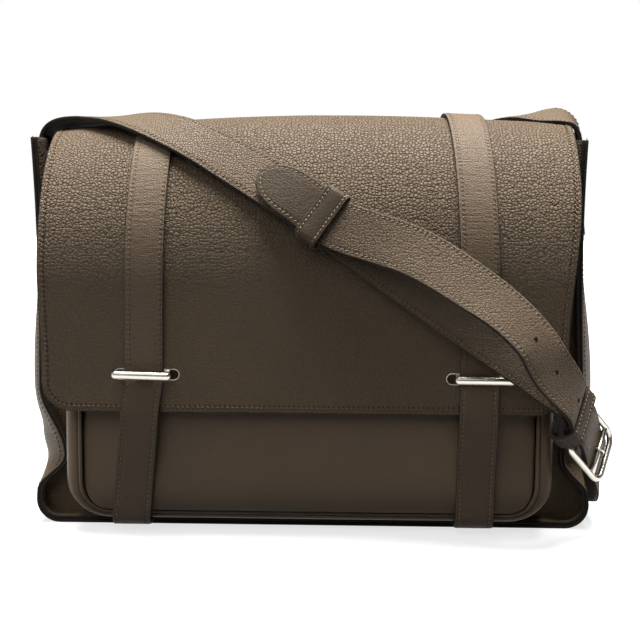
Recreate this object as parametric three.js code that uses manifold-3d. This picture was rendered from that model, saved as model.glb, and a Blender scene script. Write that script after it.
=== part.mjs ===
// Leather shoulder bag: a flap bag with a box pocket in front, two tuck straps with toggle bars
// and a buckled shoulder strap that lies across the flap.
// Millimetres, +Z up, the front faces -Y, and the origin is on the floor at the middle of the base.

import * as THREE from 'three';
import Module from 'manifold-3d';

const wasm = await Module();
wasm.setup();

// Driving dimensions

const LEATHER = 2.2; // wall of the body panels
const GAP = 0.4; // clearance between neighbouring pieces
const SLACK = 0.3; // more room where one piece bends over another

const BODY = { height: 244.5, waistHeight: 120, corner: 15 };
const DEPTH = { frontBase: -40, frontTop: -35, backBase: 40, backTop: 37 };
const SEAM = { // how far each panel's seam flange stands out, its rows of depth (v) and the panel's top edge
  front: { depth: 12, root: -0.68, plate: -0.74, top: 236 },
  back: { depth: 10, root: 0.73, plate: 0.73, top: 228 },
};
const SIDES = {
  left: { sign: -1, top: 177, waist: 172, base: 175, fold: 17 },
  right: { sign: 1, top: 172.5, waist: 170.8, base: 178.5, fold: 14 },
};
const FOLD = { height: 43, above: 45, below: 22 }; // inward fold of the gusset's front edge
const BULGE = { out: 10, upTo: 180, drawnIn: 5 }; // swell of the gusset between its edges, and its drawn-in top

const POCKET = { halfWidth: 150.5, top: 186, bottom: 6.5, corner: 26, wall: 2 };
const POCKET_FRONT = { rim: -64, swell: 3, crown: 4, reach: 138, lean: 20, rolled: 8, rolledBelow: 34 };
const RIM = { // rounded shoulder of the pocket's gusset, its piping, and how much less of it shows at the base
  round: 8, pipingAfter: 2, pipingRadius: 1.4, pipingOut: 0.4, panelAfter: 4, panelIn: 0.5, tucked: 4.6,
};

const FLAP = {
  halfWidth: 164.5, wall: 2.4, crestY: 2, crest: 261.3,
  front: -78, frontShoulder: 155, back: 30.5, backShoulder: 232, hem: 77.5, backHem: 192, corner: 18,
};
const FLAP_ENDS = { // fall of the crest towards each end, and how far each edge draws in towards the hem
  left: { fall: 10, power: 1.4, taper: 2.5, taperFrom: 130, taperTo: 205 },
  right: { fall: 6, power: 2, taper: 8, taperFrom: 80, taperTo: 190 },
};

const FLAP_STRAP = { width: 24, thick: 2.4, tucked: 1.5, backEnd: -70 };
const FLAP_STRAPS = { // strap's x at the crest, the slot and the base, and the places of its slot and bar
  left: { crestX: -96.5, strapX: -99.3, baseX: -109.8, slotX: -98.1, barX: -100.3, slotZ: 100.3 },
  right: { crestX: 95.2, strapX: 103.5, baseX: 102.5, slotX: 103.5, barX: 106.4, slotZ: 99.2 },
};
const SLOT = { length: 41.5, height: 8.4, ring: 0.8, recess: 0.4, depth: 2.4 };
const TOGGLE = {
  length: 36.4, radius: 2.45, y: -83.4, postWidth: 10, post: 1.6, foot: 28, footHeight: 6.4, footDepth: 1.4,
};

const STRAP = { width: 31, thick: 3.2, fold: 1.6, sewnTo: 186 };
const LAY = { x: -77, down: 48.4, slope: 34.6 }; // line that the shoulder strap takes across the flap
const HOLE = { radius: 1.6, first: 27, spacing: 23.8, count: 4 };
const KEEPER = {
  wall: 1.8, fixed: 9, fixedAt: 10.5, fixedLevel: 7.3, sliding: 15, slidingAt: 103, slidingLevel: 9,
};

const BUCKLE = {
  length: 36, width: 36, farCorner: 8, nearCorner: 2.6, wire: 1.9, bar: 1.6, barAt: 9, prong: 0.95,
};
const BUCKLE_CENTRE = new THREE.Vector3(174.2, -60.5, 58.7);
const BUCKLE_RUN = new THREE.Vector3(0.564, 0.5, -0.653).normalize();
const BUCKLE_FACE = new THREE.Vector3(0.759, -0.624, 0.178).normalize();

// Materials

const grainLeather = new THREE.MeshStandardMaterial({ color: 0x4b4036, roughness: 0.6, metalness: 0 });
const smoothLeather = new THREE.MeshStandardMaterial({ color: 0x463b32, roughness: 0.5, metalness: 0 });
const nickel = new THREE.MeshStandardMaterial({ color: 0xd9d5cc, roughness: 0.15, metalness: 1 });

// Building solids

const { lerp, clamp, degToRad } = THREE.MathUtils;
const steps = (from, to, count) => Array.from({ length: count + 1 }, (_, i) => lerp(from, to, i / count));
const vec = (x, y, z) => new THREE.Vector3(x, y, z);

function geometryFrom(positions, triangles) {
  const geometry = new THREE.BufferGeometry();
  geometry.setAttribute('position', new THREE.Float32BufferAttribute(positions, 3));
  geometry.setIndex(triangles);
  geometry.computeVertexNormals();
  return geometry;
}

function signedVolume(positions, triangles) {
  const corner = (i) => new THREE.Vector3().fromArray(positions, 3 * triangles[i]);
  let volume = 0;
  for (let i = 0; i < triangles.length; i += 3) {
    volume += corner(i).dot(corner(i + 1).cross(corner(i + 2))) / 6;
  }
  return volume;
}

// A closed solid skinned over a row of closed loops with equal counts. Each loop runs along one side
// of the section and back along the other, so its cap is a strip between the two sides, and the faces
// of both sides are split along the same diagonal.
function skin(loops, isRing = false) {
  const count = loops[0].length;
  const positions = loops.flat().flatMap((p) => [p.x, p.y, p.z]);
  const at = (i, k) => (i % loops.length) * count + (k % count);
  const triangles = [];
  const spans = isRing ? loops.length : loops.length - 1;
  for (let i = 0; i < spans; i += 1) {
    for (let k = 0; k < count; k += 1) {
      const [a, b, c, d] = [at(i, k), at(i, k + 1), at(i + 1, k + 1), at(i + 1, k)];
      triangles.push(...(k < count / 2 ? [a, b, c, a, c, d] : [a, b, d, b, c, d]));
    }
  }
  if (!isRing) {
    const last = loops.length - 1;
    for (let k = 0; k < count / 2 - 1; k += 1) {
      const far = count - 1 - k;
      const first = [k + 1, k, far, k + 1, far, far - 1];
      const final = [k, k + 1, far - 1, k, far - 1, far];
      triangles.push(...first.map((n) => at(0, n)), ...final.map((n) => at(last, n)));
    }
  }
  if (signedVolume(positions, triangles) < 0) {
    triangles.reverse();
  }
  return geometryFrom(positions, triangles);
}

function toManifold(geometry) {
  const vertProperties = new Float32Array(geometry.attributes.position.array);
  const triVerts = new Uint32Array(geometry.index.array);
  return new wasm.Manifold(new wasm.Mesh({ numProp: 3, vertProperties, triVerts }));
}

function fromManifold(solid) {
  const { vertProperties, triVerts } = solid.getMesh();
  return geometryFrom(Array.from(vertProperties), Array.from(triVerts));
}

const join = (...parts) => fromManifold(parts.map(toManifold).reduce((a, b) => a.add(b)));
const cut = (body, ...tools) => fromManifold(
  tools.map(toManifold).reduce((a, b) => a.subtract(b), toManifold(body)),
);

// A round rod along a list of points, each with its radius.
function rod(points, radii, sides, isRing = false) {
  const loops = points.map((point, i) => {
    const before = points[isRing ? (i + points.length - 1) % points.length : Math.max(i - 1, 0)];
    const after = points[isRing ? (i + 1) % points.length : Math.min(i + 1, points.length - 1)];
    const run = after.clone().sub(before).normalize();
    const guide = Math.abs(run.dot(BUCKLE_FACE)) < 0.9 ? BUCKLE_FACE : BUCKLE_RUN;
    const across = run.clone().cross(guide).normalize();
    const up = across.clone().cross(run);
    const radius = Array.isArray(radii) ? radii[i] : radii;
    return steps(0, 2 * Math.PI, sides).slice(0, sides).map((angle) => point.clone()
      .addScaledVector(across, radius * Math.cos(angle))
      .addScaledVector(up, radius * Math.sin(angle)));
  });
  return skin(loops, isRing);
}

// A rod with round ends, from one point to another.
function roundRod(from, to, radius, sides) {
  const run = to.clone().sub(from).normalize();
  const rounding = [80, 50, 20, 0].map((angle) => degToRad(angle));
  const tips = rounding.map((a) => ({ inset: radius * (1 - Math.sin(a)), radius: radius * Math.cos(a) }));
  const first = tips.map((tip) => from.clone().addScaledVector(run, tip.inset));
  const last = tips.map((tip) => to.clone().addScaledVector(run, -tip.inset)).reverse();
  const radii = tips.map((tip) => tip.radius);
  return rod([...first, ...last], [...radii, ...[...radii].reverse()], sides);
}

function block(centre, size) {
  const [x, y, z] = size.toArray().map((side) => side / 2);
  const ends = [-y, y].map((dy) => [[x, z], [-x, z], [-x, -z], [x, -z]]
    .map(([dx, dz]) => centre.clone().add(vec(dx, dy, dz))));
  return skin(ends);
}

// Body of the bag

const frontY = (z) => lerp(DEPTH.frontBase, DEPTH.frontTop, z / BODY.height);
const backY = (z) => lerp(DEPTH.backBase, DEPTH.backTop, z / BODY.height);
const panelFrontY = (z) => frontY(z) + SEAM.front.depth - LEATHER;
const panelBackY = (z) => backY(z) - SEAM.back.depth;
// The gusset's rows of depth v, from the front edge to the back edge.
const SECTION = [-1, -0.84, SEAM.front.root, -0.35, 0, 0.35, SEAM.back.root, 0.86, 1];

// Half width of the gusset's plain edge: a parabola through the base, the waist and the top.
function edgeLine(side, z) {
  const t = z / BODY.waistHeight;
  const end = BODY.height / BODY.waistHeight;
  const bend = ((side.top - side.base) / end - (side.waist - side.base)) / (end - 1);
  return side.base + t * (side.waist - side.base + bend * (t - 1));
}

// How far the gusset's outer face stands out of its plain edge, from v = -1 in front to v = 1 behind.
function gussetOut(side, z, v) {
  const low = BULGE.out * Math.sin((Math.PI * (z - BODY.corner)) / (BULGE.upTo - BODY.corner));
  const high = -BULGE.drawnIn * Math.sin((Math.PI / 2) * ((z - BULGE.upTo) / (BODY.height - BULGE.upTo)));
  const swell = (z < BULGE.upTo ? low : high) * (1 - v * v);
  const away = z - FOLD.height;
  const reach = clamp(Math.abs(away) / (away > 0 ? FOLD.above : FOLD.below), 0, 1);
  const fold = side.fold * 0.5 * (1 + Math.cos(Math.PI * reach));
  return swell - fold * ((1 - v) / 2) ** 3;
}

const gussetX = (side, z, v) => edgeLine(side, z) + gussetOut(side, z, v);
const SIDE_HEIGHTS = [...steps(BODY.height, 96, 5), ...steps(84, 24, 8)]; // rows of the body's sides

// Stations round the U of the body, from the top left, along the base, to the top right.
function bodyStations() {
  const heights = [...SIDE_HEIGHTS, BODY.corner];
  const turns = steps(0, 90, 4).slice(1).map((angle) => degToRad(angle));
  const half = (side) => {
    const centre = edgeLine(side, BODY.corner) - BODY.corner;
    const upright = heights.map((z) => ({
      x: side.sign * edgeLine(side, z), z, nx: side.sign, nz: 0, out: (v) => gussetOut(side, z, v),
    }));
    const corner = turns.map((turn) => ({
      x: side.sign * (centre + BODY.corner * Math.cos(turn)), z: BODY.corner * (1 - Math.sin(turn)),
      nx: side.sign * Math.cos(turn), nz: -Math.sin(turn), out: () => 0,
    }));
    return [...upright, ...corner];
  };
  const left = half(SIDES.left);
  const right = half(SIDES.right).reverse();
  const base = steps(left.at(-1).x, right[0].x, 6).slice(1, -1)
    .map((x) => ({ x, z: 0, nx: 0, nz: -1, out: () => 0 }));
  return [...left, ...base, ...right];
}

// A strip of the body's U: a wall that lies `inset` inside the gusset's outer face, over some of the
// section's rows of depth.
function bodyStrip(inset, depths) {
  const loops = bodyStations().map((s) => {
    const spot = (v, under) => {
      const out = s.out(v) - under;
      return vec(s.x + s.nx * out, lerp(frontY(s.z), backY(s.z), (v + 1) / 2), s.z + s.nz * out);
    };
    const outer = depths.map((v) => spot(v, inset));
    const inner = depths.map((v) => spot(v, inset + LEATHER)).reverse();
    return [...outer, ...inner];
  });
  return skin(loops);
}

// A panel in rows from its top edge down to its rounded lower corners.
function panel({ rows, bottom, corner, cornerWidth = corner, edge, face, wall, columns }) {
  const turns = steps(0, 90, 4).map((angle) => degToRad(angle));
  const heights = [...rows, ...turns.map((turn) => bottom + corner * (1 - Math.sin(turn)))];
  const loops = heights.map((z) => {
    const fall = clamp((bottom + corner - z) / corner, 0, 1);
    const shrink = cornerWidth * (1 - Math.sqrt(1 - fall * fall));
    const across = steps(shrink - edge(SIDES.left, z), edge(SIDES.right, z) - shrink, columns);
    const outer = across.map((x) => vec(x, face(x, z), z));
    const inner = across.map((x) => vec(x, face(x, z) + wall, z)).reverse();
    return [...outer, ...inner];
  });
  return skin(loops);
}

function gusset() {
  return bodyStrip(0, SECTION);
}

// A wall of the main compartment: a plate with its seam flange along the inside of the gusset.
function bodyPanel({ plate: plateV, top }, face, flange) {
  const seamInset = LEATHER + GAP;
  const middle = seamInset + LEATHER / 2;
  const plate = panel({
    rows: [top, ...SIDE_HEIGHTS.slice(1)], bottom: middle, corner: BODY.corner - middle, face,
    wall: LEATHER, edge: (side, z) => gussetX(side, z, plateV) - middle, columns: 2,
  });
  return join(plate, bodyStrip(seamInset, flange));
}

function frontPanel() {
  return bodyPanel(SEAM.front, (x, z) => panelFrontY(z), SECTION.filter((v) => v <= SEAM.front.root));
}

function backPanel() {
  return bodyPanel(SEAM.back, (x, z) => panelBackY(z) - LEATHER, SECTION.filter((v) => v >= SEAM.back.root));
}

// Front pocket

// Depth of the pocket's rim: a little full over its height, and rolled back towards the base.
function rimY(z) {
  const { rim, swell, rolled, rolledBelow } = POCKET_FRONT;
  const full = swell * Math.sin((Math.PI * clamp(z, 0, POCKET.top)) / POCKET.top);
  const low = clamp((rolledBelow - z) / (rolledBelow - POCKET.bottom), 0, 1);
  return rim - full + rolled * low * low;
}

function pocketFaceY(x, z) {
  const { crown, reach, lean } = POCKET_FRONT;
  const full = Math.sin((Math.PI * clamp(z + lean, 0, POCKET.top + 2 * lean)) / (POCKET.top + 2 * lean));
  const across = 1 - clamp(Math.abs(x) / reach, 0, 1) ** 4;
  return rimY(z) + RIM.panelIn - crown * across * full;
}

// Width of the rim's shoulder: full at the sides and less at the base, by the z of its outward normal.
const shoulderWidth = (nz) => RIM.round - RIM.tucked * nz * nz;

// Stations round the U of the pocket, from the top left to the top right.
function pocketStations() {
  const turns = steps(0, 90, 5).map((angle) => degToRad(angle));
  const { halfWidth, top, bottom, corner } = POCKET;
  const half = (sign) => [
    ...steps(top, bottom + corner, 7).slice(0, -1).map((z) => ({ x: sign * halfWidth, z, nx: sign, nz: 0 })),
    ...turns.map((turn) => ({
      x: sign * (halfWidth - corner * (1 - Math.cos(turn))), z: bottom + corner * (1 - Math.sin(turn)),
      nx: sign * Math.cos(turn), nz: -Math.sin(turn),
    })),
  ];
  const left = half(-1);
  const right = half(1).reverse();
  const base = steps(left.at(-1).x, right[0].x, 6).slice(1, -1).map((x) => ({ x, z: bottom, nx: 0, nz: -1 }));
  return [...left, ...base, ...right];
}

function pocketGusset() {
  const { wall } = POCKET;
  const bends = steps(0, 90, 4).map((angle) => degToRad(angle));
  const loops = pocketStations().map((s) => {
    const shoulder = rimY(s.z) + RIM.round;
    const width = shoulderWidth(s.nz);
    const spot = (inset, y) => vec(s.x - s.nx * inset, y, s.z - s.nz * inset);
    const bend = (under) => bends.map((a) => spot(
      width - (width - under) * Math.cos(a), shoulder - (RIM.round - under) * Math.sin(a),
    ));
    const root = panelFrontY(s.z) - GAP;
    return [spot(0, root), ...bend(0), ...bend(wall).reverse(), spot(wall, root)];
  });
  return skin(loops);
}

function pocketPiping() {
  const points = pocketStations().map((s) => {
    const inset = shoulderWidth(s.nz) + RIM.pipingAfter;
    return vec(s.x - s.nx * inset, rimY(s.z) - RIM.pipingOut, s.z - s.nz * inset);
  });
  return rod(points, RIM.pipingRadius, 6);
}

function pocketFront() {
  const sideInset = shoulderWidth(0) + RIM.panelAfter;
  const baseInset = shoulderWidth(1) + RIM.panelAfter;
  return panel({
    rows: steps(POCKET.top, POCKET.bottom + POCKET.corner, 12).slice(0, -1),
    bottom: POCKET.bottom + baseInset,
    corner: POCKET.corner - baseInset,
    cornerWidth: POCKET.corner - sideInset,
    edge: () => POCKET.halfWidth - sideInset, face: pocketFaceY, wall: POCKET.wall, columns: 12,
  });
}

// Flap: its middle section in (y, z), from the crest to the front hem and from the crest to the back hem

const crestHeight = FLAP.crest - FLAP.frontShoulder;
const frontProfile = new THREE.Path();
frontProfile.absellipse(
  FLAP.crestY, FLAP.frontShoulder, FLAP.crestY - FLAP.front, crestHeight, Math.PI / 2, Math.PI, false,
);
const frontArc = frontProfile.getLength();
frontProfile.lineTo(FLAP.front, 0);

const backProfile = new THREE.Path();
backProfile.absellipse(
  FLAP.crestY, FLAP.backShoulder, FLAP.back - FLAP.crestY, FLAP.crest - FLAP.backShoulder, Math.PI / 2, 0, true,
);
const backArc = backProfile.getLength();
backProfile.lineTo(FLAP.back, 0);

// Run along the leather from the crest to a height below the shoulder, in front and behind.
const frontDown = (z) => frontArc + FLAP.frontShoulder - z;
const backDown = (z) => -(backArc + FLAP.backShoulder - z);

// A point of the flap's outer face and its normal: x across, down along the leather from the crest
// (positive in front, negative behind). The crest falls towards both ends.
function flapAt(x, down) {
  const path = down >= 0 ? frontProfile : backProfile;
  const u = Math.abs(down) / path.getLength();
  const spot = path.getPoint(u);
  const run = path.getTangent(u);
  const facing = down >= 0 ? vec(0, run.y, -run.x) : vec(0, -run.y, run.x);
  const above = Math.max(spot.y - FLAP.frontShoulder, 0) / crestHeight;
  const { fall, power } = x < 0 ? FLAP_ENDS.left : FLAP_ENDS.right;
  const drop = fall * above * (Math.abs(x) / FLAP.halfWidth) ** power;
  facing.x = ((power * drop) / (x || 1)) * facing.z;
  return { point: vec(x, spot.x, spot.y - drop), normal: facing.normalize() };
}

// Rows of the flap from its back hem to the front shoulder.
const FLAP_ROWS = [...steps(backDown(FLAP.backHem), -5, 9), ...steps(0, frontArc, 15)];

function flapSheet() {
  const hem = frontDown(FLAP.hem);
  const turns = steps(0, 90, 4).slice(1).map((angle) => degToRad(angle));
  const rows = [
    ...FLAP_ROWS, ...steps(frontArc, hem - FLAP.corner, 3).slice(1),
    ...turns.map((a) => hem - FLAP.corner * (1 - Math.sin(a))),
  ];
  const loops = rows.map((down) => {
    const turn = clamp(down - hem + FLAP.corner, 0, FLAP.corner);
    const shrink = FLAP.corner - Math.sqrt(Math.max(FLAP.corner ** 2 - turn ** 2, 0));
    const edge = ({ taper, taperFrom, taperTo }) => (
      FLAP.halfWidth - taper * THREE.MathUtils.smoothstep(down, taperFrom, taperTo) - shrink);
    const across = steps(-edge(FLAP_ENDS.left), edge(FLAP_ENDS.right), 14);
    const spots = across.map((x) => flapAt(x, down));
    const outer = spots.map((spot) => spot.point);
    const inner = spots.map((spot) => spot.point.clone().addScaledVector(spot.normal, -FLAP.wall)).reverse();
    return [...outer, ...inner];
  });
  return skin(loops);
}

// A flat plate with round ends, cut through along Y between two depths.
function stadium(x, z, length, height, yFront, yBack, hole) {
  const outline = (long, high, Kind) => {
    const reach = (long - high) / 2;
    return new Kind()
      .absarc(reach, 0, high / 2, -Math.PI / 2, Math.PI / 2)
      .absarc(-reach, 0, high / 2, Math.PI / 2, (3 * Math.PI) / 2);
  };
  const shape = outline(length, height, THREE.Shape);
  if (hole) {
    shape.holes.push(outline(length - 2 * hole, height - 2 * hole, THREE.Path));
  }
  const options = { depth: yBack - yFront, bevelEnabled: false, curveSegments: 6 };
  return new THREE.ExtrudeGeometry(shape, options).rotateX(Math.PI / 2).translate(x, yBack, z);
}

// An extruded solid as one closed mesh with shared corners.
function welded(geometry) {
  const { array } = geometry.attributes.position;
  const seen = new Map();
  const positions = [];
  const corners = [];
  for (let i = 0; i < array.length; i += 3) {
    const spot = [array[i], array[i + 1], array[i + 2]];
    const key = spot.map((value) => Math.round(value * 1e4)).join();
    if (!seen.has(key)) {
      seen.set(key, positions.length / 3);
      positions.push(...spot);
    }
    corners.push(seen.get(key));
  }
  return geometryFrom(positions, corners);
}

function flap() {
  const holes = Object.values(FLAP_STRAPS).map(({ slotX, slotZ }) => (
    welded(stadium(slotX, slotZ, SLOT.length, SLOT.height, FLAP.front - 5, FLAP.front + 5, 0))));
  return cut(flapSheet(), ...holes);
}

function slotRing({ slotX, slotZ }) {
  const front = FLAP.front + SLOT.recess;
  return welded(stadium(
    slotX, slotZ, SLOT.length - 2 * GAP, SLOT.height - 2 * GAP, front, front + SLOT.depth, SLOT.ring,
  ));
}

// Bar, post and foot of a toggle: the foot lies behind the flap and keeps the bar in its slot.
function toggle({ barX, slotX, slotZ }) {
  const { length, radius, y, footDepth } = TOGGLE;
  const footFront = FLAP.front + SLOT.recess + SLOT.depth + GAP;
  const postDepth = footFront + footDepth - y;
  const [start, end] = [-length / 2, length / 2].map((reach) => vec(barX + reach, y, slotZ));
  const post = block(vec(slotX, y + postDepth / 2, slotZ), vec(TOGGLE.postWidth, postDepth, TOGGLE.post));
  const foot = block(
    vec(slotX, footFront + footDepth / 2, slotZ), vec(TOGGLE.foot, footDepth, TOGGLE.footHeight),
  );
  return join(roundRod(start, end, radius, 14), post, foot);
}

// Straps

// A flat strap along stations, each with its centre, face normal, width and thickness.
function ribbon(stations) {
  const loops = stations.map((s, i) => {
    const before = stations[Math.max(i - 1, 0)].centre;
    const after = stations[Math.min(i + 1, stations.length - 1)].centre;
    const run = after.clone().sub(before).normalize();
    const across = run.clone().cross(s.face).normalize();
    const face = across.clone().cross(run);
    const corner = (w, t) => s.centre.clone()
      .addScaledVector(across, (w * s.width) / 2).addScaledVector(face, (t * s.thick) / 2);
    return [corner(1, 1), corner(-1, 1), corner(-1, -1), corner(1, -1)];
  });
  return skin(loops);
}

// Smooth stations through hand-set rows of a route.
function smoothRoute(rows, perRow, size) {
  const centres = new THREE.CatmullRomCurve3(rows.map((row) => row.centre));
  const faces = new THREE.CatmullRomCurve3(rows.map((row) => row.face));
  const measure = (key) => (u) => {
    const spot = u * (rows.length - 1);
    const i = Math.min(Math.floor(spot), rows.length - 2);
    return lerp(rows[i][key] ?? size[key], rows[i + 1][key] ?? size[key], spot - i);
  };
  const width = measure('width');
  const thick = measure('thick');
  return steps(0, 1, (rows.length - 1) * perRow).map((u) => ({
    centre: centres.getPoint(u), face: faces.getPoint(u).normalize(), width: width(u), thick: thick(u),
  }));
}

// Flap strap: sewn on the flap from the back, over the crest, and turned into the slot at its end.
function flapStrap({ crestX, strapX, slotZ }) {
  const lift = GAP + FLAP_STRAP.thick / 2 + SLACK;
  const turnsIn = 4; // the strap leaves the flap's face this far above the slot
  const entry = frontDown(slotZ + SLOT.height / 2 + turnsIn);
  const xAt = (down) => strapX + (crestX - strapX) * (1 - down / entry) ** 2;
  const rows = [...FLAP_ROWS.filter((down) => down > FLAP_STRAP.backEnd), entry];
  const sewn = rows.map((down) => {
    const { point, normal } = flapAt(xAt(down), down);
    return { centre: point.addScaledVector(normal, lift), face: normal, ...FLAP_STRAP };
  });
  return ribbon([...sewn, ...tuckedEnd(strapX, slotZ, 1)]);
}

// The last stretch of a strap: over the slot's edge and into the slot, from above (1) or below (-1).
function tuckedEnd(strapX, slotZ, from) {
  const inSlot = SLOT.height / 2 - SLOT.ring - 2 * GAP - FLAP_STRAP.tucked / 2;
  const overEdge = GAP + FLAP_STRAP.tucked / 2 + SLACK;
  return [
    { out: overEdge, up: SLOT.height / 2 - GAP, turn: 15 },
    { out: overEdge - 0.5, up: inSlot + 0.5, turn: 55 },
    { out: SLACK, up: inSlot, turn: 90 },
    { out: -FLAP.wall / 2, up: inSlot, turn: 90 },
  ].map(({ out, up, turn }) => ({
    centre: vec(strapX, FLAP.front - out, slotZ + from * up),
    face: vec(0, -Math.cos(degToRad(turn)), -from * Math.sin(degToRad(turn))),
    width: FLAP_STRAP.width, thick: FLAP_STRAP.tucked,
  }));
}

// Tuck strap: from under the pocket, up its front, over the flap's hem and into the slot behind the bar.
function tuckStrap({ strapX, slotZ, baseX }) {
  const clear = GAP + FLAP_STRAP.thick / 2 + SLACK;
  const under = POCKET.bottom - clear;
  const onFlap = FLAP.front - clear;
  const xAt = (z) => lerp(baseX, strapX, clamp((z - under) / (slotZ - under), 0, 1));
  const onPocket = (z) => pocketFaceY(xAt(z), z) - clear - SLACK;
  const bend = RIM.round + clear;
  const bendY = POCKET_FRONT.rim + RIM.round;
  const rows = [
    { y: DEPTH.frontBase - 3.5, z: under, turn: 90 },
    ...[90, 65, 40, 18].map((turn) => ({
      y: bendY - bend * Math.cos(degToRad(turn)),
      z: POCKET.bottom + RIM.round - bend * Math.sin(degToRad(turn)), turn,
    })),
    ...[26, 36, 46, 56].map((z) => ({ y: onPocket(z), z, turn: 0 })),
    { y: lerp(onPocket(64), onFlap, 0.3), z: 65, turn: -14 },
    { y: onFlap - SLACK, z: FLAP.hem - 2, turn: -10 },
    { y: onFlap, z: FLAP.hem + 6, turn: 0 },
  ].map(({ y, z, turn }) => ({
    centre: vec(xAt(z), y, z),
    face: vec(0, -Math.cos(degToRad(turn)), -Math.sin(degToRad(turn))),
    ...FLAP_STRAP,
  }));
  return ribbon([...rows, ...tuckedEnd(strapX, slotZ, -1)]);
}

// Shoulder strap

const buckleAcross = BUCKLE_FACE.clone().cross(BUCKLE_RUN).normalize();
const inBuckle = (run, across, out) => BUCKLE_CENTRE.clone()
  .addScaledVector(BUCKLE_RUN, run).addScaledVector(buckleAcross, across).addScaledVector(BUCKLE_FACE, out);

// A row of the route on the flap: along and across the strap's own line, its lift off the leather,
// and how far its face is turned up about its run.
function onFlap({ along, across = 0, lift, turn = 0, width }) {
  const slope = degToRad(LAY.slope);
  const x = LAY.x + along * Math.cos(slope) - across * Math.sin(slope);
  const down = LAY.down + along * Math.sin(slope) + across * Math.cos(slope);
  const { point, normal } = flapAt(x, down);
  const fall = vec(1, 0, 0).cross(normal);
  const run = vec(Math.cos(slope), 0, 0).addScaledVector(fall, Math.sin(slope)).normalize();
  const centre = point.addScaledVector(normal, lift);
  return { centre, face: normal.applyAxisAngle(run, degToRad(-turn)), run, width };
}

const onBuckle = ({ run, out, turn = 0, thick }) => ({
  centre: inBuckle(run, 0, out),
  face: BUCKLE_FACE.clone().applyAxisAngle(buckleAcross, degToRad(turn)),
  thick,
});

const inSpace = ([x, y, z, fx, fy, fz]) => ({ centre: vec(x, y, z), face: vec(fx, fy, fz).normalize() });

// The stretch that is sewn on the outside of a gusset, from its lower end to the top.
function sewnRows(side) {
  const clear = GAP + STRAP.thick / 2 + 1.6;
  return [STRAP.sewnTo, 205, 224, 238].map((z) => ({
    centre: vec(side.sign * (gussetX(side, z, 0) + clear), 0, z), face: vec(side.sign, 0, 0),
  }));
}

// Buckle side: left gusset, arch over the flap's end, across the flap, round the near bar of the buckle.
function buckleSideRows() {
  const arch = [
    [-174.8, 0.5, 246, -1, 0, 0.25],
    [-170.5, 0.5, 252, -0.65, 0.06, 0.75],
    [-160, 0, 254.6, -0.12, 0.16, 0.98],
  ].map(inSpace);
  const across = [
    { along: -82, lift: 3, turn: 9 }, { along: -60, lift: 4.6, turn: 7 }, { along: -38, lift: 5.4, turn: 3 },
    { along: -14, lift: 5.4 }, { along: 10, lift: 5 }, { along: 45, lift: 3.2 }, { along: 70, lift: 4 },
    { along: 88, lift: 4.6 }, { along: 120, lift: 4.6 }, { along: 160, lift: 4 },
    { along: 190, lift: 6, turn: 3 }, { along: 215, lift: 7.4, turn: 7 },
    { along: 238, lift: 8.4, turn: 12 }, { along: 258, lift: 10, turn: 16 },
  ].map(onFlap);
  const near = -BUCKLE.length / 2;
  const wrap = BUCKLE.wire + 2 * GAP + STRAP.fold / 2;
  const loop = [
    { run: near - 23, out: 8 }, { run: near - 16, out: 3.6 }, { run: near - 11, out: 2 },
    { run: near - 6, out: 2.6, thick: STRAP.fold },
    { run: near, out: wrap, thick: STRAP.fold },
    { run: near + 0.75 * wrap, out: 0.75 * wrap, turn: 45, thick: STRAP.fold },
    { run: near + wrap, out: 0, turn: 90, thick: STRAP.fold },
    { run: near + 0.75 * wrap, out: -0.75 * wrap, turn: 135, thick: STRAP.fold },
    { run: near, out: -wrap, turn: 180, thick: STRAP.fold },
    { run: near - 7, out: -wrap, turn: 180, thick: STRAP.fold },
    { run: near - 15, out: -wrap, turn: 180, thick: STRAP.fold },
  ].map(onBuckle);
  return [...sewnRows(SIDES.left), ...arch, ...across, ...loop];
}

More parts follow.
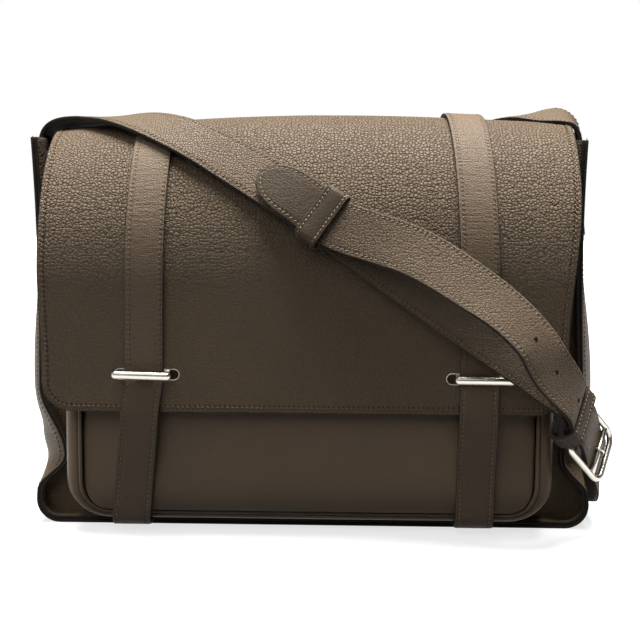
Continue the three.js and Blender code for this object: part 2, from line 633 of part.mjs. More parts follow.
// Tip side: from its tip across the flap, through the buckle, along the right gusset, up behind the
// back in one loose curve and over to the right gusset.
function tipSideRows() {
  const across = [
    { along: 57, lift: 9.6, width: 8 }, { along: 60, lift: 9.5, width: 17 },
    { along: 67, lift: 9.2, width: 25.5 }, { along: 76, across: -0.4, lift: 9, width: 29.8 },
    { along: 86, across: -0.5, lift: 8.9 },
    { along: 112, across: -0.6, lift: 9 }, { along: 124, across: -3.4, lift: 10, turn: 2 },
    { along: 140, across: -8.5, lift: 12, turn: 5 }, { along: 162, across: -14.5, lift: 16, turn: 12 },
    { along: 195, across: -18, lift: 21, turn: 24 }, { along: 223, across: -18, lift: 24, turn: 34 },
    { along: 245, across: -14, lift: 24, turn: 36 }, { along: 264, across: -6, lift: 21, turn: 28 },
  ].map(onFlap);
  const threaded = [
    { run: -40, out: 12.4 }, { run: -34, out: 8 }, { run: -29, out: 6.3 }, { run: -24, out: 6.2 },
    { run: -18, out: 6.3 }, { run: -9, out: 3.6, turn: 14 },
    { run: 0, out: 0, turn: 22 }, { run: 6, out: -2.4, turn: 18 }, { run: 11, out: -3.9, turn: 6 },
    { run: 18, out: -4.8 },
  ].map(onBuckle);
  const behind = [
    [182.2, -39, 38, 0.9, -0.42, 0.12],
    [182.4, -24, 30.5, 0.98, -0.18, 0.1],
    [183, -6, 26, 1, 0, 0.05],
    [183, 16, 22, 1, 0.06, 0],
    [180, 41, 21, 0.85, 0.52, 0],
    [160, 56.5, 23, 0.3, 0.95, 0],
    [130, 61, 32, -0.15, 0.92, -0.35],
    [102, 61, 53, -0.42, 0.78, -0.45],
    [83, 59, 90, -0.62, 0.76, -0.18],
    [77, 57, 131, -0.66, 0.75, 0.05],
    [84, 55, 172, -0.56, 0.78, 0.25],
    [94, 56, 209, -0.4, 0.74, 0.55],
    [113, 42, 247.5, -0.2, 0.45, 0.87],
    [136, 17, 261.3, -0.05, -0.08, 0.99],
    [151, 6.5, 262.3, -0.03, -0.29, 0.95],
    [161, 3, 261.5, 0.35, -0.32, 0.88],
    [168.8, 1.4, 257, 0.78, -0.2, 0.59],
    [171, 0.5, 249.6, 0.98, -0.06, 0.15],
  ].map(inSpace);
  return [...across, ...threaded, ...behind, ...sewnRows(SIDES.right).reverse()];
}

const tipRoute = smoothRoute(tipSideRows(), 2, STRAP);

function strapBuckleSide() {
  return ribbon(smoothRoute(buckleSideRows(), 2, STRAP));
}

// Holes of the tip side: one for the prong, and the others at their distances from it towards the tip.
function holeSpots() {
  const prong = inBuckle(BUCKLE.barAt - 3, 0, 0);
  const nearest = tipRoute.reduce((best, s, i) => (
    s.centre.distanceTo(prong) < tipRoute[best].centre.distanceTo(prong) ? i : best), 0);
  const spots = [tipRoute[nearest]];
  let run = 0;
  for (let i = nearest; i > 0 && spots.length <= HOLE.count; i -= 1) {
    const stretch = tipRoute[i].centre.distanceTo(tipRoute[i - 1].centre);
    const wanted = HOLE.first + (spots.length - 1) * HOLE.spacing;
    if (run + stretch >= wanted) {
      const part = (wanted - run) / stretch;
      spots.push({
        centre: tipRoute[i].centre.clone().lerp(tipRoute[i - 1].centre, part), face: tipRoute[i].face,
      });
    }
    run += stretch;
  }
  return spots;
}

function strapTipSide() {
  const drills = holeSpots().map(({ centre, face }) => rod(
    [-5, 5].map((out) => centre.clone().addScaledVector(face, out)), HOLE.radius, 8,
  ));
  return cut(ribbon(tipRoute), ...drills);
}

// A keeper: a leather band closed round the strap, from a low to a high level above its origin.
function keeper({ origin, run, face }, low, high, length) {
  const across = run.clone().cross(face).normalize();
  const halfWidth = STRAP.width / 2 + 2 * GAP;
  const middle = (low + high) / 2;
  const corner = (high - low) / 2;
  const outline = [...steps(-90, 90, 6), ...steps(90, 270, 6)].map((angle, i) => {
    const a = degToRad(angle);
    const side = i < 7 ? 1 : -1;
    return { w: side * (halfWidth - 1) + corner * 0.45 * Math.cos(a), n: middle + corner * Math.sin(a), a };
  });
  const loops = outline.map(({ w, n, a }) => {
    const spot = (grow, along) => origin.clone().addScaledVector(run, along)
      .addScaledVector(across, w + grow * Math.cos(a)).addScaledVector(face, n + grow * Math.sin(a));
    const half = length / 2;
    return [spot(0, -half), spot(KEEPER.wall, -half), spot(KEEPER.wall, half), spot(0, half)];
  });
  return skin(loops, true);
}

function keeperFixed() {
  const origin = inBuckle(-BUCKLE.length / 2 - KEEPER.fixedAt, 0, 0);
  const low = -BUCKLE.wire - STRAP.fold - 4 * GAP;
  const high = KEEPER.fixedLevel + STRAP.thick / 2 + 2 * GAP;
  return keeper({ origin, run: BUCKLE_RUN, face: BUCKLE_FACE }, low, high, KEEPER.fixed);
}

function keeperSliding() {
  const { centre, face, run } = onFlap({ along: KEEPER.slidingAt, lift: 0 });
  const high = KEEPER.slidingLevel + STRAP.thick / 2 + 2 * GAP;
  return keeper({ origin: centre, run, face }, KEEPER.wall + GAP, high, KEEPER.sliding);
}

// Buckle: a frame with rounder corners at its far end than at the end that the strap is folded round.
function buckleFrame() {
  const length = BUCKLE.length / 2;
  const width = BUCKLE.width / 2;
  const { farCorner, nearCorner } = BUCKLE;
  const path = [
    { r: 1, w: 1, from: 0, corner: farCorner }, { r: -1, w: 1, from: 90, corner: nearCorner },
    { r: -1, w: -1, from: 180, corner: nearCorner }, { r: 1, w: -1, from: 270, corner: farCorner },
  ].flatMap(({ r, w, from, corner }) => steps(from, from + 90, 4).map((angle) => inBuckle(
    r * (length - corner) + corner * Math.cos(degToRad(angle)),
    w * (width - corner) + corner * Math.sin(degToRad(angle)), 0,
  )));
  const ends = [-width, width].map((w) => inBuckle(BUCKLE.barAt, w, 0));
  return join(rod(path, BUCKLE.wire, 10, true), rod(ends, BUCKLE.bar, 10));
}

// Prong: hooked over the crossbar and down through a hole of the strap.
function bucklePronged() {
  const hook = BUCKLE.bar + 0.3 + BUCKLE.prong;
  const over = steps(-20, 170, 6).map((angle) => degToRad(angle)).map((a) => (
    inBuckle(BUCKLE.barAt + hook * Math.cos(a), 0, hook * Math.sin(a))));
  const down = [-2.5, -5, -7.5].map((out) => inBuckle(BUCKLE.barAt - hook + 0.1 * out, 0, out));
  return rod([...over, ...down], BUCKLE.prong, 8);
}

// Assembly

const bag = new THREE.Group();

function add(name, geometry, material) {
  const mesh = new THREE.Mesh(geometry, material);
  mesh.name = name;
  bag.add(mesh);
}

add('gusset', gusset(), grainLeather);
add('front_panel', frontPanel(), grainLeather);
add('back_panel', backPanel(), grainLeather);
add('pocket_gusset', pocketGusset(), smoothLeather);
add('pocket_piping', pocketPiping(), smoothLeather);
add('pocket_front', pocketFront(), smoothLeather);
add('flap', flap(), grainLeather);
for (const [side, strap] of Object.entries(FLAP_STRAPS)) {
  add(`slot_ring_${side}`, slotRing(strap), nickel);
  add(`flap_strap_${side}`, flapStrap(strap), smoothLeather);
  add(`tuck_strap_${side}`, tuckStrap(strap), smoothLeather);
  add(`toggle_${side}`, toggle(strap), nickel);
}
add('strap_buckle_side', strapBuckleSide(), smoothLeather);
add('strap_tip_side', strapTipSide(), smoothLeather);
add('keeper_fixed', keeperFixed(), smoothLeather);
add('keeper_sliding', keeperSliding(), smoothLeather);
add('buckle_frame', buckleFrame(), nickel);
add('buckle_prong', bucklePronged(), nickel);

export default bag;
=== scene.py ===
from math import copysign, cos, exp, pi, radians, sin, sqrt

import bmesh
import bpy
import numpy as np
from mathutils import Matrix


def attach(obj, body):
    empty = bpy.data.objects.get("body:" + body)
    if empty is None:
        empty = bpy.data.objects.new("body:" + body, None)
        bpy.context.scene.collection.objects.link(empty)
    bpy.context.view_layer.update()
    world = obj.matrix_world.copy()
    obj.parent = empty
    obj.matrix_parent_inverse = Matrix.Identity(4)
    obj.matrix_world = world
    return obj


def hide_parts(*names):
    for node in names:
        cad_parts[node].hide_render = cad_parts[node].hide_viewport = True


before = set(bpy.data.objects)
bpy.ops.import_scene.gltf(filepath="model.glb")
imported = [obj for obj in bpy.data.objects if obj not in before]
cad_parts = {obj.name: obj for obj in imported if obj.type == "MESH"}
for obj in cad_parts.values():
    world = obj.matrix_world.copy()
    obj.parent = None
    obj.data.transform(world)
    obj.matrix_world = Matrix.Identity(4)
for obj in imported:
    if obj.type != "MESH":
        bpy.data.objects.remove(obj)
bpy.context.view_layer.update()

# Gusset: one strip of pebbled leather that makes the left side, the base and the right side of the bag.
# It swells between its seams, is folded inward low in front, and its cut edges are painted dark.

SIDES = {
    "left": {"sign": -1, "top": 177, "waist": 172, "base": 175, "fold": 17},
    "right": {"sign": 1, "top": 172.5, "waist": 170.8, "base": 178.5, "fold": 14},
}
BODY_HEIGHT, WAIST_HEIGHT, BODY_CORNER, BODY_DEPTH = 244.5, 120, 15, 80
FRONT_LEAN, BACK_LEAN = 5, 3
SWELL, SWELL_TOP, TOP_TUCK = 10, 180, 5
FOLD_HEIGHT, FOLD_ABOVE, FOLD_BELOW = 43, 45, 22
CREASE, CREASE_WAVE, CREASE_REACH = 0.7, 4.2, 26
WALL = 2.2
MM = 0.001


class Tone:
    """A socket of a node tree. Sums and products of tones add the Math nodes that work them out."""

    def __init__(self, tree, socket=None):
        self.tree = tree
        self.socket = socket

    def node(self, kind, sockets=None, out=0, **settings):
        made = self.tree.nodes.new(kind)
        for key, value in settings.items():
            setattr(made, key, value)
        for key, value in (sockets or {}).items():
            if isinstance(value, Tone):
                self.tree.links.new(value.socket, made.inputs[key])
            else:
                made.inputs[key].default_value = value
        return Tone(self.tree, made.outputs[out] if len(made.outputs) else None)

    def math(self, operation, first, second=0):
        return self.node("ShaderNodeMath", {0: first, 1: second}, operation=operation)

    def blend(self, factor, first, second):
        return self.node("ShaderNodeMix", {0: factor, 6: first, 7: second}, 2, data_type="RGBA")

    def noise(self, place, scale, detail=2, roughness=0.5, out=0):
        return self.node("ShaderNodeTexNoise", {
            "Vector": place, "Scale": scale, "Detail": detail, "Roughness": roughness}, out)

    def bump(self, height, distance, strength=1):
        return self.node("ShaderNodeBump", {"Strength": strength, "Distance": distance, "Height": height})

    def __add__(self, other):
        return self.math("ADD", self, other)

    def __sub__(self, other):
        return self.math("SUBTRACT", self, other)

    def __rsub__(self, other):
        return self.math("SUBTRACT", other, self)

    def __mul__(self, other):
        return self.math("MULTIPLY", self, other)

    def __pow__(self, other):
        return self.math("POWER", self, other)

    __radd__ = __add__
    __rmul__ = __mul__


def new_material(name):
    """A bare material, its nodes, and the place that its textures read."""
    material = bpy.data.materials.new(name)
    material.use_nodes = True
    material.node_tree.nodes.clear()
    tone = Tone(material.node_tree)
    return material, tone, tone.node("ShaderNodeTexCoord", out="Object")


def shaded(tone, sockets):
    shader = tone.node("ShaderNodeBsdfPrincipled", sockets)
    tone.node("ShaderNodeOutputMaterial", {"Surface": shader})


def shade(colour, factor):
    return tuple(min(c * factor, 1) for c in colour) + (1,)


def leather(name, colour, pebble, relief, roughness, crease=0.7, wrinkle=0, drawn_flat=0):
    """Full-grain leather: round pebbles of that size in mm, pores, faint mottling and, if asked, wrinkles.

    Below the bend of the flap the hide is drawn flat, which takes that share off the relief."""
    material, tone, place = new_material(name)
    wobble = tone.noise(place, 300 / pebble, out="Color")
    bent = tone.node("ShaderNodeVectorMath", {0: wobble, 1: (0.0003 * pebble,) * 3, 2: place},
                     operation="MULTIPLY_ADD")
    cells = {"Vector": bent, "Scale": 1000 / pebble, "Randomness": 0.85}
    large = tone.node("ShaderNodeTexVoronoi", cells, "Distance", feature="F1")
    seam = tone.node("ShaderNodeTexVoronoi", cells, "Distance", feature="DISTANCE_TO_EDGE")
    dome = 1 - (1 - tone.math("MINIMUM", seam * 4, 1)) ** 2
    grain_top = dome * 0.6 + (1 - large ** 2 * 1.6) * 0.4
    pores, swell = tone.noise(place, 2300, 3, 0.6), tone.noise(place, 105)
    mottle = tone.noise(place, 26, 4, 0.62)
    height = grain_top + pores * 0.1 + swell * 0.12
    if wrinkle:
        drawn = tone.node("ShaderNodeMapping", {"Vector": place, "Scale": (110, 620, 620)})
        height = height + wrinkle * tone.noise(drawn, 1)
    if drawn_flat:
        level = tone.node("ShaderNodeSeparateXYZ", {"Vector": place}, "Z")
        high = tone.node("ShaderNodeMapRange", {
            "Value": level, "From Min": 0.135, "From Max": 0.215, "To Min": 1 - drawn_flat, "To Max": 1},
            interpolation_type="SMOOTHSTEP")
        height = height * high
        # Where the hide is drawn flat, the painted crease shade fades along with the relief.
        dome = 1 - (1 - dome) * high
    tint = tone.blend(mottle, shade(colour, 0.88), shade(colour, 1.13))
    # Painted shade: the colour is darkened by the crease factor in the creases between the pebbles, where
    # shade falls.
    shaded(tone, {
        "Base Color": tone.blend(dome, shade(colour, crease), tint),
        "Roughness": roughness + 0.12 - dome * 0.12 + (pores - 0.5) * 0.12,
        "Normal": tone.bump(height, relief * MM), "Specular IOR Level": 0.14})
    return material


def mottled(name, colour, scale, tones, rough, specular, bump=None, detail=2, fibrous=0.5):
    """A plain finish: one fine noise varies its colour between two tones, its roughness and its bump."""
    material, tone, place = new_material(name)
    fleck = tone.noise(place, scale, detail, fibrous)
    sockets = {
        "Base Color": tone.blend(fleck, shade(colour, tones[0]), shade(colour, tones[1])),
        "Roughness": rough[0] + fleck * rough[1], "Specular IOR Level": specular}
    if bump:
        sockets["Normal"] = tone.bump(fleck, *bump)
    shaded(tone, sockets)
    return material


# crease is how dark the shade painted into the grain's creases is, as a share of the colour.
grain = leather("pebbled_leather", (0.168, 0.119, 0.075), pebble=2.1, relief=0.72, roughness=0.5,
                crease=0.54, drawn_flat=0.62)
edge_paint = mottled("edge_paint", (0.046, 0.04, 0.034), 420, (0.75, 1.3), (0.5, 0.22), 0.06,
                     bump=(0.0002, 0.35))
suede = mottled("flesh_side", (0.06, 0.045, 0.034), 900, (0.7, 1.25), (0.86, 0.1), 0.5,
                bump=(0.0003, 0.5), detail=5, fibrous=0.7)


def settle(obj):
    """Makes the modifiers' result the object's own plain mesh."""
    graph = bpy.context.evaluated_depsgraph_get()
    mesh = bpy.data.meshes.new_from_object(obj.evaluated_get(graph), depsgraph=graph)
    loose = obj.data
    obj.modifiers.clear()
    obj.data = mesh
    bpy.data.meshes.remove(loose)
    mesh.name = obj.name
    return obj


def new_object(name, mesh):
    obj = bpy.data.objects.new(name, mesh)
    bpy.context.scene.collection.objects.link(obj)
    return obj


def sheet(name, grid, wall, finishes, flip=False, closed=False, rounding=0.6, cutters=()):
    """A wall of leather under a grid of points in mm: its face, its painted rim and its back."""
    rows, columns = grid.shape[:2]
    faces = []
    for i in range(rows if closed else rows - 1):
        for k in range(columns - 1):
            a, d = i * columns + k, (i + 1) % rows * columns + k
            faces.append((a, a + 1, d + 1, d) if flip else (a, d, d + 1, a + 1))
    mesh = bpy.data.meshes.new(name)
    mesh.from_pydata((grid.reshape(-1, 3) * MM).tolist(), [], faces)
    for finish in finishes:
        mesh.materials.append(finish)
    mesh.shade_smooth()
    obj = new_object(name, mesh)
    thick = obj.modifiers.new("wall", "SOLIDIFY")
    thick.thickness, thick.offset, thick.use_even_offset = wall * MM, -1, True
    thick.material_offset_rim, thick.material_offset = 1, 2
    soft = obj.modifiers.new("rim", "BEVEL")
    soft.width, soft.segments, soft.use_clamp_overlap = rounding * MM, 2, False
    soft.limit_method, soft.angle_limit, soft.material = "ANGLE", radians(55), 1
    for cutter in cutters:
        cut = obj.modifiers.new("cut", "BOOLEAN")
        cut.operation, cut.object, cut.solver = "DIFFERENCE", cutter, "EXACT"
    settle(obj)
    for cutter in cutters:
        bpy.data.objects.remove(cutter)
    if cutters:
        obj.data.set_sharp_from_angle(angle=radians(50))
    return obj


def finished(name, work):
    """The object that a bmesh makes."""
    mesh = bpy.data.meshes.new(name)
    work.to_mesh(mesh)
    work.free()
    return new_object(name, mesh)


def joined(name, parts):
    """One object out of several that share their finishes."""
    work = bmesh.new()
    for part in parts:
        work.from_mesh(part.data)
    obj = finished(name, work)
    for finish in parts[0].data.materials:
        obj.data.materials.append(finish)
    for part in parts:
        bpy.data.objects.remove(part)
    return obj


def placed(obj, slot, *nodes):
    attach(obj, "root")
    if nodes:
        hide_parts(*nodes)
    return obj


def stitch_tree(pitch, bead, slant, shift, finish):
    """Saddle stitches: a slanted bead at every pitch along each path, on its face, or shifted along it."""
    tree = bpy.data.node_groups.new("saddle_stitches", "GeometryNodeTree")
    for way in ("INPUT", "OUTPUT"):
        tree.interface.new_socket("Geometry", in_out=way, socket_type="NodeSocketGeometry")
    kit = Tone(tree)
    curve = kit.node("GeometryNodeMeshToCurve", {"Mesh": kit.node("NodeGroupInput")})
    even = kit.node("GeometryNodeResampleCurve", {"Curve": curve, "Length": pitch * MM}, mode="LENGTH")
    ball = kit.node("GeometryNodeMeshUVSphere", {"Segments": 6, "Rings": 4, "Radius": 0.5})
    sized = kit.node("GeometryNodeTransform", {"Geometry": ball, "Scale": [size * MM for size in bead]})
    out = kit.node("GeometryNodeInputNamedAttribute", {"Name": "out"}, data_type="FLOAT_VECTOR")
    stand = kit.node("FunctionNodeAxesToRotation", {
        "Primary Axis": out, "Secondary Axis": kit.node("GeometryNodeInputTangent")},
        primary_axis="Z", secondary_axis="X")
    turn = kit.node("FunctionNodeEulerToRotation", {"Euler": (0, 0, radians(slant))})
    lean = kit.node("FunctionNodeRotateRotation", {"Rotation": stand, "Rotate By": turn},
                    rotation_space="LOCAL")
    beads = kit.node("GeometryNodeInstanceOnPoints", {"Points": even, "Instance": sized, "Rotation": lean})
    moved = kit.node("GeometryNodeTranslateInstances", {
        "Instances": beads, "Translation": (shift * MM, 0, 0), "Local Space": True})
    real = kit.node("GeometryNodeRealizeInstances", {"Geometry": moved})
    smoothed = kit.node("GeometryNodeSetShadeSmooth", {"Geometry": real})
    dyed = kit.node("GeometryNodeSetMaterial", {"Geometry": smoothed, "Material": finish})
    kit.node("NodeGroupOutput", {"Geometry": dyed})
    return tree


WAXED = {"scale": 1900, "tones": (0.7, 1.3), "rough": (0.7, 0.2), "specular": 0.08}
waxed_thread = mottled("waxed_thread", (0.235, 0.175, 0.12), **WAXED)
pale_thread = mottled("pale_waxed_thread", (0.36, 0.285, 0.205), **WAXED)
# Painted shade: near-black beads stand for the shade inside the awl holes between the stitches.
hole_shade = mottled("pricked_holes", (0.03, 0.02, 0.012), **WAXED)


def stitches(name, runs, pitch=3, bead=(2.3, 0.85, 0.75), slant=17, pale=False):
    """Stitches along runs of points with the ways that the leather faces, and dark beads between them painted
    as the shade in the awl holes.
    """
    hole, hole_slant = (1.2 if pale else 1.5, 0.65, 0.5), slant + 33
    sewn_row(name, runs, pitch, bead, slant, 0, pale_thread if pale else waxed_thread)
    # Dark beads at half a pitch from the stitches: the painted shade of the awl holes.
    sewn_row(name + "_holes", runs, pitch, hole, hole_slant, pitch / 2, hole_shade)


def sewn_row(name, runs, pitch, bead, slant, shift, finish):
    mesh = bpy.data.meshes.new(name)
    points = np.concatenate([run[0] for run in runs]) * MM
    facing = np.concatenate([run[1] for run in runs]).astype(np.float32)
    edges, start = [], 0
    for run, _ in runs:
        edges += [(start + i, start + i + 1) for i in range(len(run) - 1)]
        start += len(run)
    mesh.from_pydata(points.tolist(), edges, [])
    mesh.attributes.new("out", "FLOAT_VECTOR", "POINT").data.foreach_set("vector", facing.ravel())
    mesh.materials.append(finish)
    obj = new_object(name, mesh)
    tree = stitch_tree(pitch, bead, slant, shift, finish)
    obj.modifiers.new("sewn", "NODES").node_group = tree
    settle(obj)
    bpy.data.node_groups.remove(tree)
    return placed(obj, "strap_leather")


def share(value):
    return min(max(value, 0), 1)


def front_y(z):
    return -BODY_DEPTH / 2 + FRONT_LEAN * z / BODY_HEIGHT


def back_y(z):
    return BODY_DEPTH / 2 - BACK_LEAN * z / BODY_HEIGHT


def edge_line(side, z):
    """Half width of the gusset's plain edge: a parabola through the base, the waist and the top."""
    t, end = z / WAIST_HEIGHT, BODY_HEIGHT / WAIST_HEIGHT
    base = side["base"]
    bend = ((side["top"] - base) / end - (side["waist"] - base)) / (end - 1)
    return base + t * (side["waist"] - base + bend * (t - 1))


def gusset_out(side, z, v):
    """How far the outer face stands out of its plain edge, from v = -1 in front to v = 1 behind."""
    if z < SWELL_TOP:
        swell = SWELL * sin(pi * (z - BODY_CORNER) / (SWELL_TOP - BODY_CORNER))
    else:
        swell = -TOP_TUCK * sin(pi / 2 * (z - SWELL_TOP) / (BODY_HEIGHT - SWELL_TOP))
    away = z - FOLD_HEIGHT
    reach = share(abs(away) / (FOLD_ABOVE if away > 0 else FOLD_BELOW))
    fold = side["fold"] * 0.5 * (1 + cos(pi * reach))
    crease = CREASE * sin(away / CREASE_WAVE) * exp(-(away / CREASE_REACH) ** 2) * (1 - v * v)
    return swell * (1 - v * v) - fold * ((1 - v) / 2) ** 3 + crease


QUARTER = np.radians(np.linspace(0, 90, 10))


def u_stations(edge, top, bottom, corner, pitch):
    """Stations round a U from the top left to the top right: x, z, outward normal, and the upright's side."""
    uprights = np.linspace(top, bottom + corner, round((top - bottom - corner) / pitch) + 1)
    halves = []
    for side in SIDES.values():
        sign, centre = side["sign"], edge(side, bottom + corner) - corner
        half = [(sign * edge(side, z), z, sign, 0, side) for z in uprights]
        half += [(sign * (centre + corner * cos(a)), bottom + corner * (1 - sin(a)),
                  sign * cos(a), -sin(a), None) for a in QUARTER[1:]]
        halves.append(half)
    left, right = halves[0], halves[1][::-1]
    base = np.linspace(left[-1][0], right[0][0], 50)[1:-1]
    return left + [(x, bottom, 0, -1, None) for x in base] + right


body_u = u_stations(edge_line, BODY_HEIGHT, 0, BODY_CORNER, 3.5)


def body_strip(inset, depths):
    """A strip of the body's U that lies that far inside the gusset's outer face."""
    grid = []
    for x, z, nx, nz, side in body_u:
        row = []
        for v in depths:
            out = (gusset_out(side, z, v) if side else 0) - inset
            row.append((x + nx * out, front_y(z) + (back_y(z) - front_y(z)) * (v + 1) / 2, z + nz * out))
        grid.append(row)
    return np.array(grid)


gusset = sheet("gusset_shell", body_strip(0, np.linspace(-1, 1, 29)), WALL, (grain, edge_paint, suede),
               flip=True)
placed(gusset, "grain_leather", "gusset")

facing_out = np.array([(nx, 0, nz) for _, _, nx, nz, _ in body_u])
uprights = [[i for i, station in enumerate(body_u) if station[4] is side] for side in SIDES.values()]
stitches("gusset_stitches", [(body_strip(0, [v])[upright, 0], facing_out[upright])
                             for v in (-0.9, 0.9) for upright in uprights])

# Front and back walls: flat pebbled leather panels of the main compartment. Each has its edge turned along
# the inside of the gusset and sewn to it, so the seam stands out as a painted edge of two layers.

SEAM_GAP = 0.03
FRONT_TOP, FRONT_SET, FRONT_V = 236, 9.8, -0.74
BACK_TOP, BACK_SET, BACK_V, BACK_BELLY, BELLY_HALF = 228, 10, 0.73, 3, 168


def panel_grid(rows, bottom, corner, edge, face, columns, corner_width=None):
    """Rows of points of a panel from its top edge down to its rounded lower corners."""
    corner_width = corner_width or corner
    turns = np.radians(np.linspace(0, 90, 13)[1:])
    heights = list(rows) + [bottom + corner * (1 - sin(a)) for a in turns]
    grid = []
    for z in heights:
        fall = share((bottom + corner - z) / corner)
        shrink = corner_width * (1 - sqrt(1 - fall * fall))
        xs = np.linspace(shrink - edge(SIDES["left"], z), edge(SIDES["right"], z) - shrink, columns + 1)
        grid.append([(x, face(x, z), z) for x in xs])
    return np.array(grid)


def body_wall(name, node, depths, plate_v, top, face, flip):
    inset = WALL + SEAM_GAP
    middle = inset + WALL / 2
    flange = sheet(name + "_flange", body_strip(inset, depths), WALL, (grain, edge_paint, grain), flip=True)
    rows = np.linspace(top, BODY_CORNER + 1, 60)
    plate = sheet(name + "_plate", panel_grid(
        rows, middle, BODY_CORNER - middle,
        lambda side, z: edge_line(side, z) + gusset_out(side, z, plate_v) - middle, face, 60),
        WALL, (grain, edge_paint, suede), flip=flip)
    return placed(joined(name, [flange, plate]), "grain_leather", node)


def belly(x, z):
    """A soft swell of a wall between its seams, from 0 at the edges to 1 in the middle."""
    return max(1 - (x / BELLY_HALF) ** 2, 0) * sin(pi * share(z / FRONT_TOP))


body_wall("front_wall", "front_panel", np.linspace(-1, -0.68, 6), FRONT_V, FRONT_TOP,
          lambda x, z: front_y(z) + FRONT_SET, flip=False)
body_wall("back_wall", "back_panel", np.linspace(BACK_V, 1, 6), BACK_V, BACK_TOP,
          lambda x, z: back_y(z) - BACK_SET + BACK_BELLY * belly(x, z), flip=True)

# Pocket: a box pocket in smooth leather. A strip with a rounded shoulder makes its sides and rim, a piped
# welt is sewn along the rim, and a slightly full front panel closes it.

smooth = leather("smooth_leather", (0.245, 0.172, 0.11), pebble=1.6, relief=0.12, roughness=0.38, crease=0.9)
POCKET_TOP, POCKET_BOTTOM, POCKET_CORNER, POCKET_HALF = 186, 6.5, 26, 150.5
RIM_FRONT, RIM_FULL, RIM_ROUND, RIM_TUCKED = -64, 3, 8, 4.6
BASE_TUCK, TUCK_BELOW = 8, 40
POCKET_ROOT, POCKET_WALL, WELT_RADIUS, WELT_AFTER = 9.4, 2, 1.3, 1.9
FACE_AFTER, FACE_FULL, FACE_HALF, FACE_ROLL, ROLL_REACH = 3.3, 4, 138, 1.3, 2.4
pocket_u = u_stations(lambda side, z: POCKET_HALF, POCKET_TOP, POCKET_BOTTOM, POCKET_CORNER, 4)


def rim_y(z):
    full = RIM_FULL * sin(pi * share(z / POCKET_TOP))
    return RIM_FRONT - full + BASE_TUCK * share((TUCK_BELOW - z) / (TUCK_BELOW - POCKET_BOTTOM)) ** 2.6


def shoulder_width(nz):
    return RIM_ROUND - RIM_TUCKED * nz * nz


def pocket_face_y(x, z):
    lean = sin(pi * share((z + 20) / (POCKET_TOP + 40)))
    across = 1 - min(abs(x) / FACE_HALF, 1) ** 4
    return rim_y(z) + 0.5 - FACE_FULL * across * lean


def rim_grid():
    grid = []
    for x, z, nx, nz, _ in pocket_u:
        shoulder = rim_y(z) + RIM_ROUND
        width = shoulder_width(nz)
        section = [(0, y) for y in np.linspace(front_y(z) + POCKET_ROOT, shoulder, 6)[:-1]]
        section += [(width * (1 - cos(a)), shoulder - RIM_ROUND * sin(a)) for a in QUARTER]
        section.append((width + 0.7, shoulder - RIM_ROUND + 0.6))
        grid.append([(x - nx * inset, y, z - nz * inset) for inset, y in section])
    return np.array(grid)


rim = sheet("pocket_rim", rim_grid(), POCKET_WALL, (smooth, smooth, suede))
placed(rim, "smooth_leather", "pocket_gusset")


def unit(vectors):
    return vectors / np.linalg.norm(vectors, axis=-1, keepdims=True)


def skin(name, rings, finish=None, closed=False, smooth_sides=True):
    """A solid over rings of points in mm, capped at its ends or joined from the last ring to the first."""
    work = bmesh.new()
    rings = [[work.verts.new(np.asarray(point) * MM) for point in ring] for ring in rings]
    count = len(rings[0])
    for first, second in zip(rings, rings[1:] + (rings[:1] if closed else [])):
        starts = range(count) if second is rings[0] else (0,)
        shift = min(starts, key=lambda s: (first[0].co - second[s].co).length)
        for k in range(count):
            side = work.faces.new((first[k], first[(k + 1) % count],
                                   second[(k + 1 + shift) % count], second[(k + shift) % count]))
            side.smooth = smooth_sides
    if not closed:
        work.faces.new(rings[0][::-1])
        work.faces.new(rings[-1])
    bmesh.ops.recalc_face_normals(work, faces=work.faces)
    obj = finished(name, work)
    if finish:
        obj.data.materials.append(finish)
    return obj


def rod(name, points, radii, sides, finish, closed=False):
    """A round bar or cord along points in mm, with a radius at each."""
    points = np.asarray(points, float)
    radii = np.broadcast_to(radii, len(points))
    ahead, behind = np.roll(points, -1, axis=0), np.roll(points, 1, axis=0)
    if not closed:
        ahead[-1], behind[0] = points[-1], points[0]
    run = unit(ahead - behind)
    side = np.cross(run[0], (0.31, 0.52, 0.8))
    angles = np.linspace(0, 2 * pi, sides, endpoint=False)
    rings = []
    for point, radius, heading in zip(points, radii, run):
        side = unit(side - heading * np.dot(side, heading))
        up = np.cross(heading, side)
        rings.append([point + radius * (side * cos(a) + up * sin(a)) for a in angles])
    return skin(name, rings, finish, closed)


welt = []
for x, z, nx, nz, _ in pocket_u:
    inset = shoulder_width(nz) + WELT_AFTER
    welt.append((x - nx * inset, rim_y(z) - 0.2, z - nz * inset))
placed(rod("pocket_welt", welt, WELT_RADIUS, 14, smooth), "smooth_leather", "pocket_piping")

side_inset, base_inset = shoulder_width(0) + FACE_AFTER, shoulder_width(1) + FACE_AFTER


def pocket_front_y(x, z):
    """The front panel's face: full in the middle, with its edge rolled back to the welt."""
    beside = POCKET_HALF - side_inset - abs(x)
    above = z - POCKET_BOTTOM - base_inset
    roll = sum(FACE_ROLL * exp(-max(distance, 0) / ROLL_REACH) for distance in (beside, above))
    return pocket_face_y(x, z) + min(roll, 1.6)


pocket_rows = np.linspace(POCKET_TOP, POCKET_BOTTOM + POCKET_CORNER, 50)
pocket_grid = panel_grid(
    pocket_rows, POCKET_BOTTOM + base_inset, POCKET_CORNER - base_inset,
    lambda side, z: POCKET_HALF - side_inset, pocket_front_y, 160, POCKET_CORNER - side_inset)
pocket_face = sheet("pocket_face", pocket_grid, POCKET_WALL, (smooth, smooth, suede), rounding=0.8)
placed(pocket_face, "smooth_leather", "pocket_front")

# Flap: one large piece of pebbled leather, sewn to the back, bent over the top and hanging down the front.
# Its edge is painted and stitched, and it has two slots for the closure.

